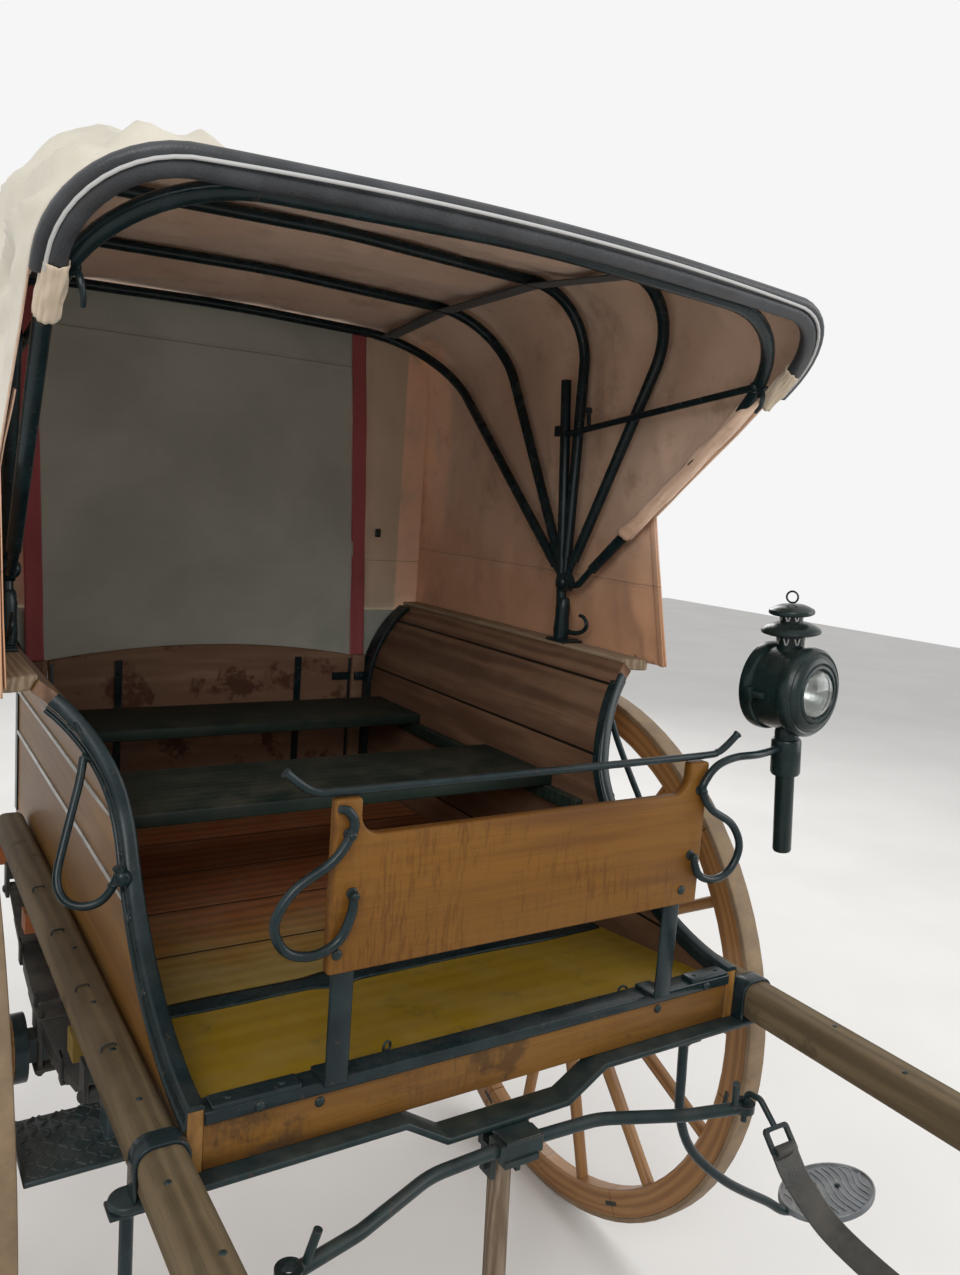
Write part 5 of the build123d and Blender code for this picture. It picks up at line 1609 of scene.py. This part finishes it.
# springs: clips round the leaves, bolts at the axle and pins at the eyes
spring = {
    "x": 0.515,
    "low": 0.686,
    "rise": 0.088,
    "clips": (-0.235, 0.235),
    "clipHalf": (0.0245, 0.0265),  # to the middle of its sides, and half of its bars' length
    "bolts": 0.024,
    "boltProfile": ((0, 0.600), (0.0050, 0.600), (0.0050, 0.742), (0, 0.744)),
    "eyes": (-0.43, 0.43),
    "eyeHeight": 0.792,
}
for word in ("left", "right"):
    dressed("spring_" + word, springSteel, 0.0012)
bm = bmesh.new()
for side, _ in sides:
    middle, (half, bar) = side * spring["x"], spring["clipHalf"]
    for y in spring["clips"]:
        low = spring["low"] + spring["rise"] * (y / spring["eyes"][1]) ** 2
        for x in (-half, half):
            addBlock(bm, (middle + x - 0.002, y - 0.012, low - 0.006),
                     (middle + x + 0.002, y + 0.012, low + 0.044), 0.001)
        for foot in (0.040, -0.008):
            addBlock(bm, (middle - bar, y - 0.012, low + foot),
                     (middle + bar, y + 0.012, low + foot + 0.004), 0.001)
    for y in (-spring["bolts"], spring["bolts"]):
        for x in (-spring["bolts"], spring["bolts"]):
            addLathe(bm, spring["boltProfile"], (middle + x, y, 0), steps=10)
            addHexNut(bm, (middle + x, y, 0.604), (0, 0, 1), 0.0095, 0.008)
    addBlock(bm, (middle - 0.034, -0.034, 0.608), (middle + 0.034, 0.034, 0.6145), 0.002)
    for y in spring["eyes"]:
        addDome(bm, (side * (spring["x"] + 0.031), y, spring["eyeHeight"]), (side, 0, 0), 0.009, 0.005)
        addHexNut(bm, (side * (spring["x"] - 0.030), y, spring["eyeHeight"]), (-side, 0, 0), 0.010, 0.007)
toObject(bm, "springClips", "cart", springSteel)

# old nails and staples along the shafts, as (x, y)
nails = {
    "right": ((-0.522, -0.525), (-0.518, -0.658), (-0.527, -0.832), (-0.505, -0.965), (-0.520, -0.380),
              (-0.512, -0.180)),
    "left": ((0.503, -1.069), (0.543, -1.116), (0.517, -0.930), (0.505, -0.660), (0.525, -0.430)),
    "shaft": 0.515,
    "flat": 0.010,
    "round": 0.020,
    "low": 0.893,
    "staples": (0.10, -0.11, -0.33, -0.52),
    "stapleX": 0.527,
    "staple": ((-0.010, 0, 0.905), (-0.010, 0, 0.9155), (-0.007, 0, 0.9175), (0.007, 0.003, 0.9175),
               (0.010, 0.003, 0.9155), (0.010, 0.003, 0.905)),
}


# the shafts' rounded top: its height at x and the way it faces
def shaftTop(x):
    over = clamp(abs(abs(x) - nails["shaft"]) - nails["flat"], 0, nails["round"] - 0.001)
    rise = (nails["round"] ** 2 - over ** 2) ** 0.5
    return nails["low"] + rise, Vector((over if (abs(x) > nails["shaft"]) == (x > 0) else -over, 0, rise))


bm = bmesh.new()
for x, y in nails["right"] + nails["left"]:
    height, outward = shaftTop(x)
    addDome(bm, (x, y, height - 0.0005), outward, 0.0048, 0.0022)
for side, _ in sides:
    for y in nails["staples"]:
        line = [Vector((side * nails["stapleX"] + px, y + py, z)) for px, py, z in nails["staple"]]
        sweepRing(bm, circleSection(0.0018, 6), line, (0, 1, 0))
sweptObject(bm, "shaftNails", "cart", ironWorn)
for nodeName in ("shaft_left", "shaft_right"):
    dressed(nodeName, greyShafts, 0.005, 35)

# hood fittings: pegs and catches on the post, the strut and the front bow
fitting = {
    "peg": ((0, 0), (0.0050, 0), (0.0050, 0.030), (0.0075, 0.032), (0.0075, 0.040), (0.0045, 0.043),
            (0, 0.043)),
    "catchX": 0.596,
    "hook": ((0.596, -0.545, 1.957), (0.592, -0.560, 1.945), (0.588, -0.562, 1.925), (0.586, -0.552, 1.912)),
    "curl": ((0.604, -0.010, 1.425), (0.606, -0.050, 1.426), (0.606, -0.078, 1.436), (0.604, -0.090, 1.452),
             (0.602, -0.080, 1.467), (0.600, -0.066, 1.470)),
    # cloth wound round the post's foot
    "winding": ((0.012, 0), (0.0175, 0.001), (0.0185, 0.020), (0.0168, 0.050), (0.0175, 0.070),
                (0.0150, 0.092), (0.012, 0.096)),
    "plateX": 0.610,
    "pivot": 1.54,
}
bm = bmesh.new()
for side, _ in sides:
    catchX, plateX = side * fitting["catchX"], side * fitting["plateX"]
    addLathe(bm, fitting["peg"], (catchX, -0.045, 1.900), (0, 0.1, 1), 14)
    addBlock(bm, (catchX - 0.004, 0.058, 1.880), (catchX + 0.004, 0.082, 1.905), 0.002)
    hook, curl = [smoothLine([(side * x, y, z) for x, y, z in fitting[key]], 4) for key in ("hook", "curl")]
    sweepRing(bm, circleSection(0.0055, 10), hook, (1, 0, 0), lambda t: 1 - 0.4 * t)
    addLathe(bm, fitting["winding"], (side * 0.600, 0, 1.408), steps=18)
    sweepRing(bm, circleSection(0.0060, 10), curl, (1, 0, 0), lambda t: 1 - 0.35 * t)
    addBlock(bm, (plateX - 0.030, -0.040, 1.4005), (plateX + 0.026, 0.034, 1.4065), 0.0025)
    for y in (-0.029, 0.024):
        addDome(bm, (side * 0.622, y, 1.4065), (0, 0, 1), 0.006, 0.003)
    addDome(bm, (side * 0.6125, 0, fitting["pivot"]), (side, 0, 0), 0.014, 0.008)
    addDome(bm, (side * 0.5875, 0, fitting["pivot"]), (-side, 0, 0), 0.016, 0.010)
sweptObject(bm, "hoodFittings", "cart", ironPaint)

# the curtain's strap buckle and its hook
buckle = {
    "plate": ((0.474, 0.7655, 1.590), (0.492, 0.7705, 1.614)),
    "rivet": (0.483, 0.7655, 1.602),
    "hook": ((-0.430, 0.7560, 2.140), (-0.430, 0.7500, 2.110), (-0.427, 0.7440, 2.092),
             (-0.422, 0.7400, 2.098)),
}
bm = bmesh.new()
addBlock(bm, *buckle["plate"], 0.002)
addDome(bm, buckle["rivet"], frontward, 0.005, 0.003)
sweepRing(bm, circleSection(0.003, 8), smoothLine(buckle["hook"], 4), (1, 0, 0))
sweptObject(bm, "curtainBuckle", "cart", ironWorn)

# crossbar's middle bolts
bm = bmesh.new()
for x in (-0.045, 0.045):
    addLathe(bm, ((0, 0.780), (0.0052, 0.780), (0.0052, 0.800), (0, 0.800)), (x, -0.750, 0), steps=10)
    addHexNut(bm, (x, -0.750, 0.7945), (0, 0, 1), 0.0095, 0.008)
toObject(bm, "crossbarBolts", "cart", ironWorn)
print("smaller fittings made")

view = {
    "place": (-0.83, -1.887, 1.71),
    "forward": (0.533, 0.8355, -0.1326),
    "up": (0.00936, 0.15091, 0.98850),
    "focal": 1000.0,
    "longSide": 1275.0,
    "sensor": 36,
}
cameraData = bpy.data.cameras.new("camera")
camera = bpy.data.objects.new("camera", cameraData)
bpy.context.scene.collection.objects.link(camera)
cameraData.sensor_width = view["sensor"]
cameraData.sensor_fit = "AUTO"
cameraData.lens = view["focal"] / view["longSide"] * view["sensor"]
cameraData.clip_start = 0.05
forward = Vector(view["forward"]).normalized()
rightward = forward.cross(Vector(view["up"])).normalized()
camera.matrix_world = axesAt(view["place"], rightward, rightward.cross(forward), -forward)
bpy.context.scene.camera = camera

studio = {
    "floorSize": 14,
    "floorTones": ((0.72, 0.71, 0.69), (0.76, 0.75, 0.73)),
    "worldLight": (0.62, 0.92),  # on the object, and as it is seen
    # name, place, aimed at, size, watts
    "lights": (("key", (-3.2, -4.6, 4.6), (0, -0.2, 1.0), 3.4, 190),
               ("fill", (4.2, -3.0, 2.6), (0, 0, 1.1), 3.0, 80),
               ("back", (2.6, 4.4, 4.2), (0, 0.3, 1.4), 3.0, 150)),
}
floorMesh = bmesh.new()
bmesh.ops.create_grid(floorMesh, x_segments=1, y_segments=1, size=studio["floorSize"])
floorData = bpy.data.meshes.new("studioFloor")
floorMesh.to_mesh(floorData)
floorMesh.free()
studioFloor = bpy.data.objects.new("studioFloor", floorData)
bpy.context.scene.collection.objects.link(studioFloor)
floorPaint, floorTree, floorShader, floorPlace = newMaterial("floorPaint")
floorTone = blendColour(floorTree, ramp(floorTree, noiseAt(floorTree, floorPlace, 1.2, 3.0), 0.3, 0.7),
                        *studio["floorTones"])
feed(floorTree, floorShader.inputs["Base Color"], floorTone)
floorShader.inputs["Roughness"].default_value = 0.85
floorData.materials.append(floorPaint)

world = bpy.data.worlds.new("studio")
bpy.context.scene.world = world
world.use_nodes = True
worldTree = world.node_tree
background = worldTree.nodes["Background"]
paths = add(worldTree, "LightPath")
bounced = maths(worldTree, "MAXIMUM", paths.outputs["Is Glossy Ray"], paths.outputs["Is Transmission Ray"])
seen = maths(worldTree, "MAXIMUM", paths.outputs["Is Camera Ray"], bounced)
level = add(worldTree, "MapRange")
feed(worldTree, level.inputs["Value"], seen)
level.inputs["To Min"].default_value, level.inputs["To Max"].default_value = studio["worldLight"]
background.inputs["Color"].default_value = (1, 1, 1, 1)
feed(worldTree, background.inputs["Strength"], level.outputs["Result"])

for name, place, target, size, watts in studio["lights"]:
    lightData = bpy.data.lights.new(name, "AREA")
    lightData.size = size
    lightData.energy = watts
    light = bpy.data.objects.new(name, lightData)
    bpy.context.scene.collection.objects.link(light)
    aim = (Vector(target) - Vector(place)).to_track_quat("-Z", "Y").to_matrix().to_4x4()
    light.matrix_world = Matrix.Translation(place) @ aim
bpy.context.scene.view_settings.view_transform = "Standard"
